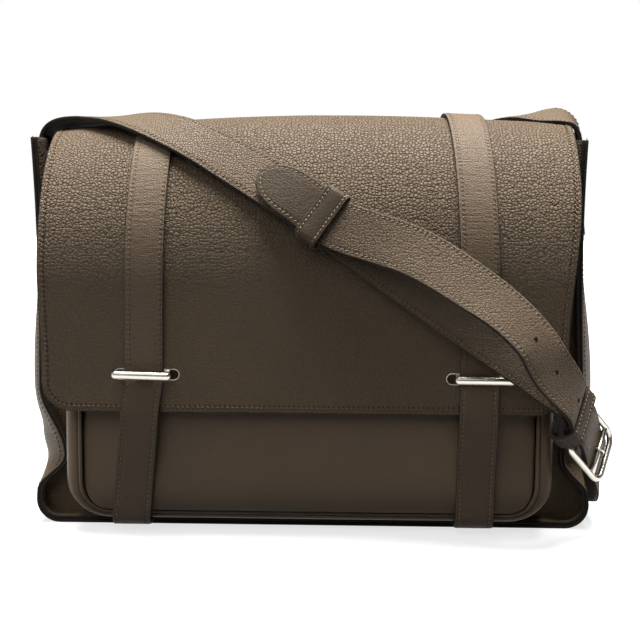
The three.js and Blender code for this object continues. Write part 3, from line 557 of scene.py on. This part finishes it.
FLAP_HALF, FLAP_WALL, FLAP_FRONT, FLAP_HEM = 164.5, 2.4, -78, 77.5
CREST_Y, CREST, SHOULDER, FLAP_CORNER = 2, 261.3, 155, 18
FLAP_ENDS = {
    "left": {"fall": 10, "power": 1.4, "taper": 2.5, "taper_from": 130, "taper_to": 205},
    "right": {"fall": 5, "power": 2, "taper": 8, "taper_from": 80, "taper_to": 190},
}
BACK_Y, BACK_SHOULDER, BACK_HEM = 30.5, 232, 192
CLOSURES = {
    "left": {"crest_x": -96.5, "strap_x": -99.3, "base_x": -109.8, "slot_x": -98.1, "slot_z": 100.3,
             "bar_x": -100.3, "bar_lean": 0.022},
    "right": {"crest_x": 95.2, "strap_x": 103.5, "base_x": 102.5, "slot_x": 103.5, "slot_z": 99.2,
              "bar_x": 106.4, "bar_lean": 0.006},
}
SLOT_LENGTH, SLOT_HEIGHT, RUMPLE, FLAP_SEAM = 41.5, 8.4, 0.35, 3.2


def half_profile(reach, shoulder):
    """Half of the flap's middle section: run along the leather, y, z and normal, from the crest downward."""
    turn = np.linspace(0, pi / 2, 400)
    y, z = CREST_Y + reach * np.sin(turn), shoulder + (CREST - shoulder) * np.cos(turn)
    y, z = np.append(y, y[-1]), np.append(z, 0)
    run = np.concatenate([[0], np.cumsum(np.hypot(np.diff(y), np.diff(z)))])
    ny, nz = np.sin(turn) / reach, np.cos(turn) / (CREST - shoulder)
    size = np.hypot(ny, nz)
    ny, nz = np.append(ny / size, copysign(1, reach)), np.append(nz / size, 0)
    return run, y, z, ny, nz


FRONT_HALF = half_profile(FLAP_FRONT - CREST_Y, SHOULDER)
BACK_HALF = half_profile(BACK_Y - CREST_Y, BACK_SHOULDER)
FRONT_ARC, BACK_ARC = FRONT_HALF[0][-2], BACK_HALF[0][-2]


def flap_at(x, down):
    """A point of the flap's outer face and its normal: x across, down along the leather from the crest."""
    run, ys, zs, nys, nzs = FRONT_HALF if down >= 0 else BACK_HALF
    y, z, ny, nz = (np.interp(abs(down), run, values) for values in (ys, zs, nys, nzs))
    end = FLAP_ENDS["left" if x < 0 else "right"]
    drop = end["fall"] * max(z - SHOULDER, 0) / (CREST - SHOULDER) * (abs(x) / FLAP_HALF) ** end["power"]
    normal = np.array([end["power"] * drop / (x or 1) * nz, abs(ny) * (-1 if down >= 0 else 1), nz])
    return np.array([x, y, z - drop]), unit(normal)


def front_down(z):
    return FRONT_ARC + SHOULDER - z


FLAP_END = front_down(FLAP_HEM)
FLAP_START = -(BACK_ARC + BACK_SHOULDER - BACK_HEM)


def flap_edge(hand, down):
    """Half width of the flap on that hand: drawn in towards the hem, and round at the lower corner."""
    end = FLAP_ENDS[hand]
    turn = min(max(down - FLAP_END + FLAP_CORNER, 0), FLAP_CORNER)
    shrink = FLAP_CORNER - sqrt(max(FLAP_CORNER ** 2 - turn * turn, 0))
    t = share((down - end["taper_from"]) / (end["taper_to"] - end["taper_from"]))
    return FLAP_HALF - end["taper"] * t * t * (3 - 2 * t) - shrink


def rumple(x, down):
    """Soft unevenness of a worked hide, pressed inward only."""
    wave = sin(x / 31 + 1.3) * sin(down / 37 + 0.4)
    wave += 0.6 * sin(x / 17 - down / 43 + 2)
    return -RUMPLE * (wave + 1.6) / 2


def flap_grid():
    """Points of the flap's face from its seam behind to its hem."""
    rows = list(np.linspace(FLAP_START, FLAP_END - FLAP_CORNER, 98))
    rows += [FLAP_END - FLAP_CORNER * (1 - sin(a)) for a in QUARTER[1:]]
    grid = []
    for down in rows:
        row = []
        for x in np.linspace(-flap_edge("left", down), flap_edge("right", down), 111):
            point, normal = flap_at(x, down)
            row.append(point + normal * rumple(x, down))
        grid.append(row)
    return np.array(grid)


def prism(name, outline, front, back, finish=None):
    """A straight solid along Y with that outline of x and z in mm."""
    return skin(name, [[(x, y, z) for x, z in outline] for y in (front, back)], finish, smooth_sides=False)


def stadium(x, z, length, height, count=14):
    """A slot's outline: straight sides and round ends."""
    radius, reach = height / 2, (length - height) / 2
    outline = []
    for way, start in ((1, -pi / 2), (-1, pi / 2)):
        for a in np.linspace(start, start + pi, count):
            outline.append((x + way * reach + radius * cos(a), z + radius * sin(a)))
    return outline


slot_cutters = []
for closure in CLOSURES.values():
    slot = stadium(closure["slot_x"], closure["slot_z"], SLOT_LENGTH, SLOT_HEIGHT)
    slot_cutters.append(prism("slot_cutter", slot, FLAP_FRONT - 5, FLAP_FRONT + 6))
flap = sheet("flap_leather", flap_grid(), FLAP_WALL, (grain, edge_paint, suede), cutters=slot_cutters)
placed(flap, "grain_leather", "flap")
(FLAP_END - FLAP_START) * MM


def flap_edge_runs(inset):
    """The stitched line along the flap's left edge, hem and right edge."""
    downs = np.linspace(-30, FLAP_END - FLAP_CORNER, 120)
    bend = FLAP_CORNER - inset
    halves = []
    for hand, sign in (("left", -1), ("right", 1)):
        centre = flap_edge(hand, downs[-1]) - FLAP_CORNER
        half = [(sign * (flap_edge(hand, d) - inset), d) for d in downs]
        half += [(sign * (centre + bend * cos(a)), downs[-1] + bend * sin(a)) for a in QUARTER[1:]]
        halves.append(half)
    left, right = halves[0], halves[1][::-1]
    hem = np.linspace(left[-1][0], right[0][0], 160)[1:-1]
    line = left + [(x, FLAP_END - inset) for x in hem] + right
    spots = [flap_at(x, d) for x, d in line]
    sewn = [p + n * (rumple(x, d) + 0.1) for (p, n), (x, d) in zip(spots, line)]
    return [(np.array(sewn), np.array([n for _, n in spots]))]


def flap_back_run(inset):
    """The stitched line that joins the flap to the back wall."""
    reach = FLAP_HALF - inset
    spots = [flap_at(x, FLAP_START + inset) for x in np.linspace(-reach, reach, 160)]
    return [(np.array([p - 0.1 * n for p, n in spots]), np.array([n for _, n in spots]))]


stitches("flap_stitches", flap_edge_runs(FLAP_SEAM) + flap_back_run(FLAP_SEAM))

# Slot rings: thin polished metal rims that line the two slots of the flap.
# Each is a rounded band pressed into the slot and turned over at the front.

polished, tone, place = new_material("polished_nickel")
stretched = tone.node("ShaderNodeMapping", {"Vector": place, "Scale": (90, 900, 900)})
wipe, cloud = tone.noise(stretched, 3, 3), tone.noise(place, 160)
shaded(tone, {
    "Base Color": tone.blend(cloud, (0.47, 0.445, 0.39, 1), (0.55, 0.525, 0.465, 1)), "Metallic": 1,
    "Roughness": 0.22 + wipe * 0.12, "Normal": tone.bump(wipe, 0.0001, 0.05)})

lip, wall, deep, gap = FLAP_FRONT + 1.7, 0.8, FLAP_FRONT + 2.8, 0.8
ring_section = [(0, deep), (0, lip + 0.4), (0.12, lip + 0.12), (0.4, lip), (0.68, lip + 0.12),
                (wall, lip + 0.4), (wall, deep)]
for hand, closure in CLOSURES.items():
    rings = []
    for inset, y in ring_section:
        less = gap + 2 * inset
        slot = stadium(closure["slot_x"], closure["slot_z"], SLOT_LENGTH - less, SLOT_HEIGHT - less, 20)
        rings.append([(x, y, z) for x, z in slot])
    placed(skin(f"slot_rim_{hand}", rings, polished, closed=True), "nickel", f"slot_ring_{hand}")

# Flap straps and tuck straps: two straps of fine-grained leather, stitched along both edges. Each flap strap
# is sewn over the flap and turns into its slot; a tuck strap comes up from under the pocket to meet it.

strap_grain = leather("strap_leather", (0.172, 0.122, 0.078), pebble=1.6, relief=0.4, roughness=0.44,
                      crease=0.72)
wrinkled = leather("wrinkled_strap_leather", (0.188, 0.134, 0.087), pebble=1.3, relief=0.22, roughness=0.44,
                   crease=0.88, wrinkle=2)
# A darker, smoother strap leather, used at the strap's tip and for the keepers.
darker_smooth_leather = leather("darker_smooth_strap_leather", (0.096, 0.068, 0.043), pebble=1.6, relief=0.14, roughness=0.36,
                 crease=0.85)
STRAP_FINISH = (strap_grain, edge_paint, suede)
STITCH_INSET = 2.7
EDGE_MARKS = (0, 1.3, 2.1, STITCH_INSET, 3.4, 4.8, 8)


def face_dip(inset):
    """How far a strap's face lies below its crown: rolled at the edge, pulled in at the stitches."""
    return 0.32 * exp(-inset / 0.7) + 0.26 * exp(-((inset - STITCH_INSET) / 0.7) ** 2)


def strap_axes(centres, faces):
    run = unit(np.gradient(centres, axis=0))
    across = unit(np.cross(run, faces))
    return across, np.cross(across, run)


def strap_grid(route):
    """Rows of points of a strap's face along its route. Its rolled edge fades out where it narrows."""
    centres, faces, widths, thicks = route
    across, up = strap_axes(centres, faces)
    full = widths.max()
    marks = [m for m in EDGE_MARKS if m < full / 2 - 1] + [full / 2]
    offsets = [-1 + 2 * m / full for m in marks] + [1 - 2 * m / full for m in marks[-2::-1]]
    columns = []
    for offset, mark in zip(offsets, marks + marks[-2::-1]):
        lift = thicks / 2 - face_dip(mark) * (widths / full) ** 2
        columns.append(centres + across * (widths * offset / 2)[:, None] + up * lift[:, None])
    return np.stack(columns, axis=1)


def run_along(centres):
    return np.concatenate([[0], np.cumsum(np.linalg.norm(np.diff(centres, axis=0), axis=1))])


def at_spots(spots, run, values):
    return np.stack([np.interp(spots, run, values[:, k]) for k in range(3)], axis=1)


def strap_runs(route, first=0, last=None):
    """The two stitched lines along a strap, at one inset from its edge, also round a tip."""
    centres, faces, widths, thicks = route
    across, up = strap_axes(centres, faces)
    run = run_along(centres)
    slope = np.gradient(widths / 2, run)
    size = np.sqrt(1 + slope ** 2)
    spots, reach = run + STITCH_INSET * slope / size, np.maximum(widths / 2 - STITCH_INSET / size, 0.4)
    base = centres + up * (thicks / 2 - face_dip(STITCH_INSET) + 0.08)[:, None]
    moved, sideways, facing = (at_spots(spots, run, values) for values in (base, across, up))
    lines = [moved + sideways * (side * reach)[:, None] for side in (-1, 1)]
    return [(line[first:last], facing[first:last]) for line in lines]


def even_route(rows, pitch, eased=0):
    """Evenly spaced stations along dense rows, eased that many times."""
    centres, faces, widths, thicks = (np.array(part, float) for part in zip(*rows))
    run = run_along(centres)
    spots = np.linspace(0, run[-1], max(int(run[-1] / pitch), 4) + 1)
    line, turned = at_spots(spots, run, centres), at_spots(spots, run, faces)
    for _ in range(eased):
        for values in (line, turned):
            values[1:-1] = (values[:-2] + 2 * values[1:-1] + values[2:]) / 4
    return line, unit(turned), np.interp(spots, run, widths), np.interp(spots, run, thicks)


def curve_through(points, per_row):
    """A smooth curve through the points, with its overshoot held back."""
    points = np.asarray(points, float)
    ends = np.vstack([2 * points[0] - points[1], points, 2 * points[-1] - points[-2]])
    out = []
    for p0, p1, p2, p3 in zip(ends, ends[1:], ends[2:], ends[3:]):
        gaps = [sqrt(np.linalg.norm(b - a)) for a, b in ((p0, p1), (p1, p2), (p2, p3))]
        d1 = gaps[1] if gaps[1] > 1e-4 else 1
        d0, d2 = (g if g > 1e-4 else d1 for g in (gaps[0], gaps[2]))
        t1 = ((p1 - p0) / d0 - (p2 - p0) / (d0 + d1) + (p2 - p1) / d1) * d1
        t2 = ((p2 - p1) / d1 - (p3 - p1) / (d1 + d2) + (p3 - p2) / d2) * d1
        square, cube = 3 * (p2 - p1) - 2 * t1 - t2, 2 * (p1 - p2) + t1 + t2
        for t in np.linspace(0, 1, per_row, endpoint=False):
            out.append(p1 + t1 * t + square * t * t + cube * t ** 3)
    return np.array(out + [points[-1]])


def smooth_rows(rows, per_row=12):
    """Dense rows along a smooth curve through the given rows."""
    centres, faces, widths, thicks = zip(*rows)
    curve, turned = curve_through(centres, per_row), unit(curve_through(faces, per_row))
    spots = np.linspace(0, len(rows) - 1, len(curve))
    wide, deep = (np.interp(spots, np.arange(len(rows)), values) for values in (widths, thicks))
    return list(zip(curve, turned, wide, deep))


FLAP_STRAP_WIDTH, FLAP_STRAP_THICK, FLAP_STRAP_WALL, TUCKED_THICK = 24, 2.4, 2.2, 1.5
FLAP_STRAP_START, SEWN_GAP, TUCK_GAP = -66, 0.35, 0.6
TUCK_END_Y, TUCK_UPRIGHT, TUCK_FREE = -43.5, 26, 36


def faced(degrees, way=1):
    """The way a strap faces: forward, swung downward by that angle, or upward where way is -1."""
    angle = radians(degrees)
    return np.array([0, -cos(angle), -way * sin(angle)])


def tucked_end(closure, way):
    """The end of a strap over the slot's rim and into the slot, from above (1) or below (-1)."""
    inside = SLOT_HEIGHT / 2 - 1.6 - TUCKED_THICK / 2
    over = 0.7 + TUCKED_THICK / 2
    rows = ((over, SLOT_HEIGHT / 2 - 0.4, 15), (over - 0.5, inside + 0.5, 55), (0.3, inside, 90),
            (-1.2, inside, 90))
    return [(np.array([closure["strap_x"], FLAP_FRONT - out, closure["slot_z"] + way * up]),
             faced(turn, way), FLAP_STRAP_WIDTH, TUCKED_THICK) for out, up, turn in rows]


def flap_strap_rows(closure):
    entry, lift = front_down(closure["slot_z"] + SLOT_HEIGHT / 2 + 4), FLAP_STRAP_THICK / 2 + SEWN_GAP
    rows = []
    for down in np.linspace(FLAP_STRAP_START, entry, 60):
        x = closure["strap_x"] + (closure["crest_x"] - closure["strap_x"]) * (1 - down / entry) ** 2
        point, normal = flap_at(x, down)
        rows.append((point + normal * lift, normal, FLAP_STRAP_WIDTH, FLAP_STRAP_THICK))
    return rows + tucked_end(closure, 1)


def tuck_strap_rows(closure):
    clear = FLAP_STRAP_THICK / 2 + TUCK_GAP
    under, bend = POCKET_BOTTOM - clear, RIM_ROUND + clear

    def x_at(z):
        climb = share((z - under) / (closure["slot_z"] - under))
        return closure["base_x"] + (closure["strap_x"] - closure["base_x"]) * climb

    def on_pocket(z):
        return pocket_face_y(x_at(z), z) - clear - 0.2

    rows = [(TUCK_END_Y, under, 90)]
    for turn in (90, 65, 40, 18):
        y = RIM_FRONT + RIM_ROUND - bend * cos(radians(turn))
        rows.append((y, POCKET_BOTTOM + RIM_ROUND - bend * sin(radians(turn)), turn))
    on_flap = FLAP_FRONT - clear
    low, high = on_pocket(TUCK_FREE), on_flap - 0.3
    rows += [(on_pocket(TUCK_UPRIGHT), TUCK_UPRIGHT, 0), (low, TUCK_FREE, -4)]
    for z in (48, 60, 70):
        rows.append((low + (high - low) * (z - TUCK_FREE) / (FLAP_HEM - TUCK_FREE), z, -8))
    rows += [(high, FLAP_HEM, -6), (on_flap, FLAP_HEM + 7, 0)]
    strap = [(np.array([x_at(z), y, z]), faced(turn), FLAP_STRAP_WIDTH, FLAP_STRAP_THICK)
             for y, z, turn in rows]
    return strap + tucked_end(closure, -1)


for hand, closure in CLOSURES.items():
    for kind, rows in (("flap_strap", flap_strap_rows(closure)), ("tuck_strap", tuck_strap_rows(closure))):
        route = even_route(smooth_rows(rows, 6), 2.5)
        strap = sheet(f"{kind}_{hand}_leather", strap_grid(route), FLAP_STRAP_WALL,
                      (wrinkled, edge_paint, wrinkled), flip=True, rounding=0.55)
        placed(strap, "strap_leather", f"{kind}_{hand}")
        stitches(f"{kind}_{hand}_stitches", strap_runs(route, 1, -3), pale=kind == "tuck_strap")

# Toggles: a polished bar across each slot that holds the tucked strap ends down.
# A flat post soldered to its back goes through the slot to a foot behind the flap.

TOGGLE_LENGTH, TOGGLE_RADIUS, TOGGLE_Y, TOGGLE_FOOT_Y = 36.4, 2.6, -83.4, FLAP_FRONT + 3.2


def rounded_bar(x, z, lean):
    """A toggle's bar, round at its ends and a little out of level."""
    tips = np.radians([84, 68, 50, 32, 15, 0])
    shape = [(TOGGLE_RADIUS * (1 - sin(a)) - TOGGLE_LENGTH / 2, TOGGLE_RADIUS * cos(a))
             for a in tips]
    shape += [(-along, radius) for along, radius in shape[::-1]]
    path = [(x + along, TOGGLE_Y, z - lean * along) for along, _ in shape]
    return rod("bar", path, [radius for _, radius in shape], 28, polished)


def plain_block(name, centre, size):
    (x, y, z), (w, d, h) = centre, (extent / 2 for extent in size)
    outline = [(x - w, z - h), (x + w, z - h), (x + w, z + h), (x - w, z + h)]
    return prism(name, outline, y - d, y + d, polished)


for hand, closure in CLOSURES.items():
    x, z = closure["slot_x"], closure["slot_z"]
    bar = rounded_bar(closure["bar_x"], z, closure["bar_lean"])
    post = plain_block("post", (x, (TOGGLE_Y + TOGGLE_FOOT_Y) / 2, z),
                       (10, TOGGLE_FOOT_Y - TOGGLE_Y + 1, 1.6))
    foot = plain_block("foot", (x, TOGGLE_FOOT_Y + 0.7, z), (28, 1.4, 6.4))
    placed(joined(f"toggle_bar_{hand}", [bar, post, foot]), "nickel", f"toggle_{hand}")

# Shoulder strap: two layers of leather sewn along both edges, in two lengths that meet at the buckle.
# The buckle side goes from the left gusset across the flap; the tip side comes from the right gusset round
# behind, through the buckle and back across the flap to its rounded tip.

STRAP_WIDTH, STRAP_THICK, STRAP_WALL = 31, 3.2, 2.9
FOLD_THICK, FOLD_WALL = 1.6, 1.3
LINE_SLOPE, LINE_X, LINE_DOWN = radians(34.6), -77, 48.4
TIP_LENGTH, TIP_DARKER_REACH, HOLE_RADIUS, HOLES = 25, 46, 1.55, (0, 27, 50.8, 74.6, 98.4)
BUCKLE_CENTRE = np.array([174.2, -60.5, 58.7])
BUCKLE_RUN, BUCKLE_FACE = unit(np.array([0.564, 0.5, -0.653])), unit(np.array([0.759, -0.624, 0.178]))
BUCKLE_ACROSS = unit(np.cross(BUCKLE_FACE, BUCKLE_RUN))
BUCKLE_HALF, BUCKLE_WIRE, CROSSBAR, CROSSBAR_AT = 18, 1.9, 1.6, 9
NEAR_BAR = -BUCKLE_HALF


def turned_about(vector, axis, degrees):
    a = radians(degrees)
    along = axis * np.dot(axis, vector)
    return along + (vector - along) * cos(a) + np.cross(axis, vector) * sin(a)


def on_line(along, lift, across=0, turn=0):
    """A row on the strap's line across the flap: its lift off the leather and how far it is turned up."""
    right, fall = cos(LINE_SLOPE), sin(LINE_SLOPE)
    point, normal = flap_at(LINE_X + along * right - across * fall, LINE_DOWN + along * fall + across * right)
    run = unit(np.array([right, 0, 0]) + fall * np.cross((1, 0, 0), normal))
    return point + normal * lift, turned_about(normal, run, -turn), STRAP_WIDTH, STRAP_THICK


def in_buckle(run, across, out):
    return BUCKLE_CENTRE + BUCKLE_RUN * run + BUCKLE_ACROSS * across + BUCKLE_FACE * out


def at_buckle(run, out, turn=0, thick=STRAP_THICK):
    return in_buckle(run, 0, out), turned_about(BUCKLE_FACE, BUCKLE_ACROSS, turn), STRAP_WIDTH, thick


def in_space(x, y, z, *face):
    return np.array([x, y, z]), unit(np.array(face)), STRAP_WIDTH, STRAP_THICK


def sewn_on(side):
    """Rows of the stretch that is sewn on the outside of a gusset, upward."""
    rows = []
    for z in (186, 205, 224, 238):
        x = side["sign"] * (edge_line(side, z) + gusset_out(side, z, 0) + 3.2)
        rows.append(in_space(x, 0, z, side["sign"], 0, 0))
    return rows


buckle_side = sewn_on(SIDES["left"])
buckle_side += [in_space(*row) for row in (
    (-174.8, 0.5, 246, -1, 0, 0.25), (-170.5, 0.5, 252, -0.65, 0.06, 0.75),
    (-160, 0, 254.6, -0.12, 0.16, 0.98))]
buckle_side += [on_line(*row) for row in (
    (-82, 3, 0, 9), (-60, 4.6, 0, 7), (-38, 5.4, 0, 3), (-14, 5.4), (10, 5),
    (45, 3.2), (70, 4), (88, 4.6), (120, 4.6), (160, 4), (190, 6, 0, 3),
    (215, 7.4, 0, 7), (238, 8.4, 0, 12), (258, 10, 0, 16))]
buckle_side += [at_buckle(NEAR_BAR - back, out)
                for back, out in ((23, 8), (16, 3.6), (11, 2), (7, 2.2))]
buckle_route = even_route(smooth_rows(buckle_side), 2, eased=6)

wrap = BUCKLE_WIRE + 0.8 + FOLD_THICK / 2
fold_rows = [(-7.5, 2.9, 0)]
for turn in (0, 45, 90, 135, 180):
    fold_rows.append((wrap * sin(radians(turn)), wrap * cos(radians(turn)), turn))
fold_rows += [(-7, -wrap, 180), (-15, -wrap, 180)]
fold_side = [at_buckle(NEAR_BAR + run, out, turn, FOLD_THICK) for run, out, turn in fold_rows]
fold_route = even_route(smooth_rows(fold_side), 1.5)

strap_main = sheet("strap_main", strap_grid(buckle_route), STRAP_WALL, STRAP_FINISH, flip=True)
strap_fold = sheet("strap_fold", strap_grid(fold_route), FOLD_WALL, STRAP_FINISH, flip=True, rounding=0.4)
placed(joined("buckle_side_leather", [strap_main, strap_fold]), "strap_leather", "strap_buckle_side")
stitches("buckle_side_stitches", strap_runs(buckle_route))

tip_side = [on_line(*row) for row in (
    (57, 9.6), (60, 9.5), (67, 9.2), (76, 9, -0.4), (86, 8.9, -0.5), (112, 9, -0.6),
    (124, 10, -3.4, 2), (140, 12, -8.5, 5), (162, 16, -14.5, 12),
    (195, 21, -18, 24), (223, 24, -18, 34), (245, 24, -14, 36),
    (264, 21, -6, 28))]
tip_side += [at_buckle(*row) for row in (
    (-40, 12.4), (-34, 8), (-29, 6.3), (-24, 6.2), (-18, 6.3), (-9, 3.6, 14),
    (0, 0, 22), (6, -2.4, 18), (11, -3.9, 6), (18, -4.8))]
tip_side += [in_space(*row) for row in (
    (182.2, -39, 38, 0.9, -0.42, 0.12), (182.4, -24, 30.5, 0.98, -0.18, 0.1),
    (183, -6, 26, 1, 0, 0.05), (183, 16, 22, 1, 0.06, 0),
    (180, 41, 21, 0.85, 0.52, 0), (160, 56.5, 23, 0.3, 0.95, 0),
    (130, 61, 32, -0.15, 0.92, -0.35), (102, 61, 53, -0.42, 0.78, -0.45),
    (83, 59, 90, -0.62, 0.76, -0.18), (77, 57, 131, -0.66, 0.75, 0.05),
    (84, 55, 172, -0.56, 0.78, 0.25), (94, 56, 209, -0.4, 0.74, 0.55),
    (113, 42, 247.5, -0.2, 0.45, 0.87), (136, 17, 261, -0.05, -0.1, 0.99),
    (151, 7, 261.6, -0.03, -0.34, 0.94), (160.6, 3.6, 260.7, 0.35, -0.37, 0.86),
    (168, 2, 256.4, 0.78, -0.25, 0.57), (170.4, 0.8, 249.6, 0.98, -0.08, 0.15))]
tip_side += sewn_on(SIDES["right"])[::-1]
tip_route = even_route(smooth_rows(tip_side), 0.75, eased=32)
tip_runs = run_along(tip_route[0])
tip_rounding = np.clip(1 - tip_runs / TIP_LENGTH, 0, 1)
tip_route[2][:] = STRAP_WIDTH * np.maximum((1 - tip_rounding ** 2.3) ** 0.55, 0.12)

# Punches for the strap's holes: one at the prong, and four more towards the tip.
prong_station = np.argmin(np.linalg.norm(tip_route[0] - in_buckle(CROSSBAR_AT - 3, 0, 0), axis=1))
punches = []
for distance in HOLES:
    i = np.argmin(np.abs(tip_runs - (tip_runs[prong_station] - distance)))
    centre, face = tip_route[0][i], tip_route[1][i]
    punches.append(rod("punch", [centre - face * 6, centre + face * 6], HOLE_RADIUS, 18, polished))
strap_tip = sheet("tip_side_leather", strap_grid(tip_route), STRAP_WALL, STRAP_FINISH, flip=True,
                  rounding=0.4, cutters=punches)
strap_tip.data.materials.append(darker_smooth_leather)
# The faces near the tip take the darker, smoother strap leather.
tip_end = np.argmin(np.abs(tip_runs - TIP_DARKER_REACH))
for face in strap_tip.data.polygons:
    station = np.argmin(np.linalg.norm(tip_route[0] - np.array(face.center) / MM, axis=1))
    if face.material_index == 0 and station < tip_end:
        face.material_index = len(STRAP_FINISH)
placed(strap_tip, "strap_leather", "strap_tip_side")
stitches("tip_side_stitches", strap_runs(tip_route), pale=True)

# Keepers: leather loops round both layers of the strap, stitched along their edges. One is fixed next to the
# buckle and one slides near the tip.

KEEPER_WALL, KEEPER_SEAM, KEEPER_DIP, KEEPER_GAP = 1.8, 2.2, 0.25, 0.8
FIXED_BACK, FIXED_LENGTH, SLIDING_AT, SLIDING_LENGTH = 10.5, 11, 103, 15


def keeper(name, node, origin, run, face, low, high, length):
    """A loop round the strap, open from low to high above its origin along the face."""
    across = unit(np.cross(run, face))
    half, middle, corner = STRAP_WIDTH / 2 - 0.2, (low + high) / 2, (high - low) / 2
    spots = []
    for side, start in ((1, -90), (-1, 90)):
        for a in np.radians(np.linspace(start, start + 180, 19)):
            spots.append((side * half + (0.45 * corner + KEEPER_WALL) * cos(a),
                          middle + (corner + KEEPER_WALL) * sin(a), a))
    loop = []
    for (w0, n0, a0), (w1, n1, _) in zip(spots, spots[1:] + spots[:1]):
        count = 10 if abs(w1 - w0) > 8 else 1
        loop += [(w0 + (w1 - w0) * k / count, n0 + (n1 - n0) * k / count, a0) for k in range(count)]

    def spot(w, n, a, along, dip):
        return origin + run * along + across * (w - dip * cos(a)) + face * (n - dip * sin(a))

    end, seam = length / 2, length / 2 - KEEPER_SEAM
    marks = [(-end, 0), (1.2 - end, 0), (-seam, KEEPER_DIP), (1 - seam, 0), (0, 0)]
    marks += [(-along, dip) for along, dip in marks[-2::-1]]
    grid = np.array([[spot(*row, *mark) for mark in marks] for row in loop])
    made = sheet(name, grid, KEEPER_WALL, (darker_smooth_leather, edge_paint, suede), flip=True, closed=True, rounding=0.5)
    out = np.array([across * cos(a) + face * sin(a) for _, _, a in loop])
    runs = [(np.array([spot(*row, along, 0.12) for row in loop]), out) for along in (-seam, seam)]
    stitches(name + "_stitches", runs, pitch=2.8, bead=(2.1, 0.9, 0.9), pale=True)
    return placed(made, "strap_leather", node)


over_strap = STRAP_THICK / 2 + KEEPER_GAP
keeper("keeper_by_buckle", "keeper_fixed", in_buckle(NEAR_BAR - FIXED_BACK, 0, 0), BUCKLE_RUN,
       BUCKLE_FACE, -BUCKLE_WIRE - FOLD_THICK - 1.6, 7.3 + over_strap, FIXED_LENGTH)
slide_centre, slide_face, _, _ = on_line(SLIDING_AT, 0)
slide_run = unit(on_line(SLIDING_AT + 1, 0)[0] - slide_centre)
keeper("keeper_by_tip", "keeper_sliding", slide_centre, slide_run, slide_face, 2.2, 9 + over_strap,
       SLIDING_LENGTH)

# Buckle: a polished frame with its crossbar soldered in, and a prong hooked over the crossbar that goes
# down through a hole of the strap.

FAR_CORNER, NEAR_CORNER, PRONG = 8, 2.6, 0.95

# The frame's middle line has wide corners at its far end and tight ones at the strap's fold.
buckle_path = []
for r, w, start, corner in ((1, 1, 0, FAR_CORNER), (-1, 1, 90, NEAR_CORNER),
                            (-1, -1, 180, NEAR_CORNER), (1, -1, 270, FAR_CORNER)):
    for angle in radians(start) + QUARTER:
        buckle_path.append(in_buckle(r * (BUCKLE_HALF - corner) + corner * cos(angle),
                                     w * (BUCKLE_HALF - corner) + corner * sin(angle), 0))
buckle = rod("buckle_loop", buckle_path, BUCKLE_WIRE, 24, polished, closed=True)
crossbar_ends = [in_buckle(CROSSBAR_AT, w, 0) for w in (-BUCKLE_HALF, BUCKLE_HALF)]
crossbar = rod("crossbar", crossbar_ends, CROSSBAR, 20, polished)
placed(joined("buckle_polished", [buckle, crossbar]), "nickel", "buckle_frame")

hook = CROSSBAR + 0.3 + PRONG
prong_path = [in_buckle(CROSSBAR_AT + hook * cos(a), 0, hook * sin(a))
              for a in np.radians(np.linspace(-20, 170, 16))]
prong_path += [in_buckle(CROSSBAR_AT - hook + 0.1 * out, 0, out) for out in (-2.5, -5, -7.5)]
placed(rod("prong_polished", prong_path, PRONG, 14, polished), "nickel", "buckle_prong")

# Studio: a plain pale floor that glows a little, a white surround, one wide soft light from above and weak
# fill from the front and the sides, with the camera a little above the bag and almost square to it.

scene = bpy.context.scene
scene.view_settings.view_transform = "Standard"

floor_mesh = bpy.data.meshes.new("floor")
floor_mesh.from_pydata([(-6, -6, 0), (6, -6, 0), (6, 6, 0), (-6, 6, 0)], [], [(0, 1, 2, 3)])
paper, paper_tone, paper_place = new_material("white_paper")
shaded(paper_tone, {
    "Base Color": (0.4, 0.4, 0.4, 1), "Roughness": 0.8 + paper_tone.noise(paper_place, 40) * 0.1,
    "Specular IOR Level": 0, "Emission Color": (1, 1, 1, 1), "Emission Strength": 0.71})
floor_mesh.materials.append(paper)
floor = new_object("floor", floor_mesh)
floor.visible_diffuse = False

world = bpy.data.worlds.new("white_surround")
world.use_nodes = True
background = world.node_tree.nodes["Background"].inputs
background["Color"].default_value, background["Strength"].default_value = (1, 1, 1, 1), 1
scene.world = world
world.cycles_visibility.diffuse = world.cycles_visibility.glossy = False


def stance(right, up, back, spot=(0, 0, 0)):
    """The matrix of a light or camera at that spot that looks away from its back."""
    return Matrix(np.column_stack([right, up, back, spot]).tolist() + [(0, 0, 0, 1)])


# Distant lights: where each comes from, how many degrees wide it is, and its strength.
for name, source, spread, strength in (
        ("top_light", (0, 0.13, 1), 38, 9.8), ("front_fill", (-0.5, -1, 1.2), 50, 0.74),
        ("left_fill", (-1, 0, 0.4), 50, 0.7), ("right_fill", (1, 0, 0.4), 50, 0.2)):
    light = bpy.data.lights.new(name, "SUN")
    light.angle, light.energy = radians(spread), strength
    back = unit(np.array(source))
    right = unit(np.cross((0, 1, 0.001), back))
    new_object(name, light).matrix_world = stance(right, np.cross(back, right), back)

PICTURE_WIDTH, SENSOR_WIDTH, FOCUS = 640, 36, 1430  # pixels, mm, pixels
CAMERA_AWAY, AIM = 0.9, np.array([0.006, -0.038, 0.131])
azimuth, elevation, roll = np.radians([1.5, 5, 0.4])
level = np.array([cos(azimuth), sin(azimuth), 0])
ahead = np.array([sin(azimuth), -cos(azimuth), 0])
toward = ahead * cos(elevation) + np.array([0, 0, sin(elevation)])
upward = np.cross(toward, level)
camera_data = bpy.data.cameras.new("photo_camera")
camera_data.sensor_fit, camera_data.sensor_width = "HORIZONTAL", SENSOR_WIDTH
camera_data.lens = FOCUS * SENSOR_WIDTH / PICTURE_WIDTH
camera = new_object("photo_camera", camera_data)
camera.matrix_world = stance(level * cos(roll) + upward * sin(roll),
                             upward * cos(roll) - level * sin(roll), toward,
                             AIM + toward * CAMERA_AWAY)
scene.camera = camera
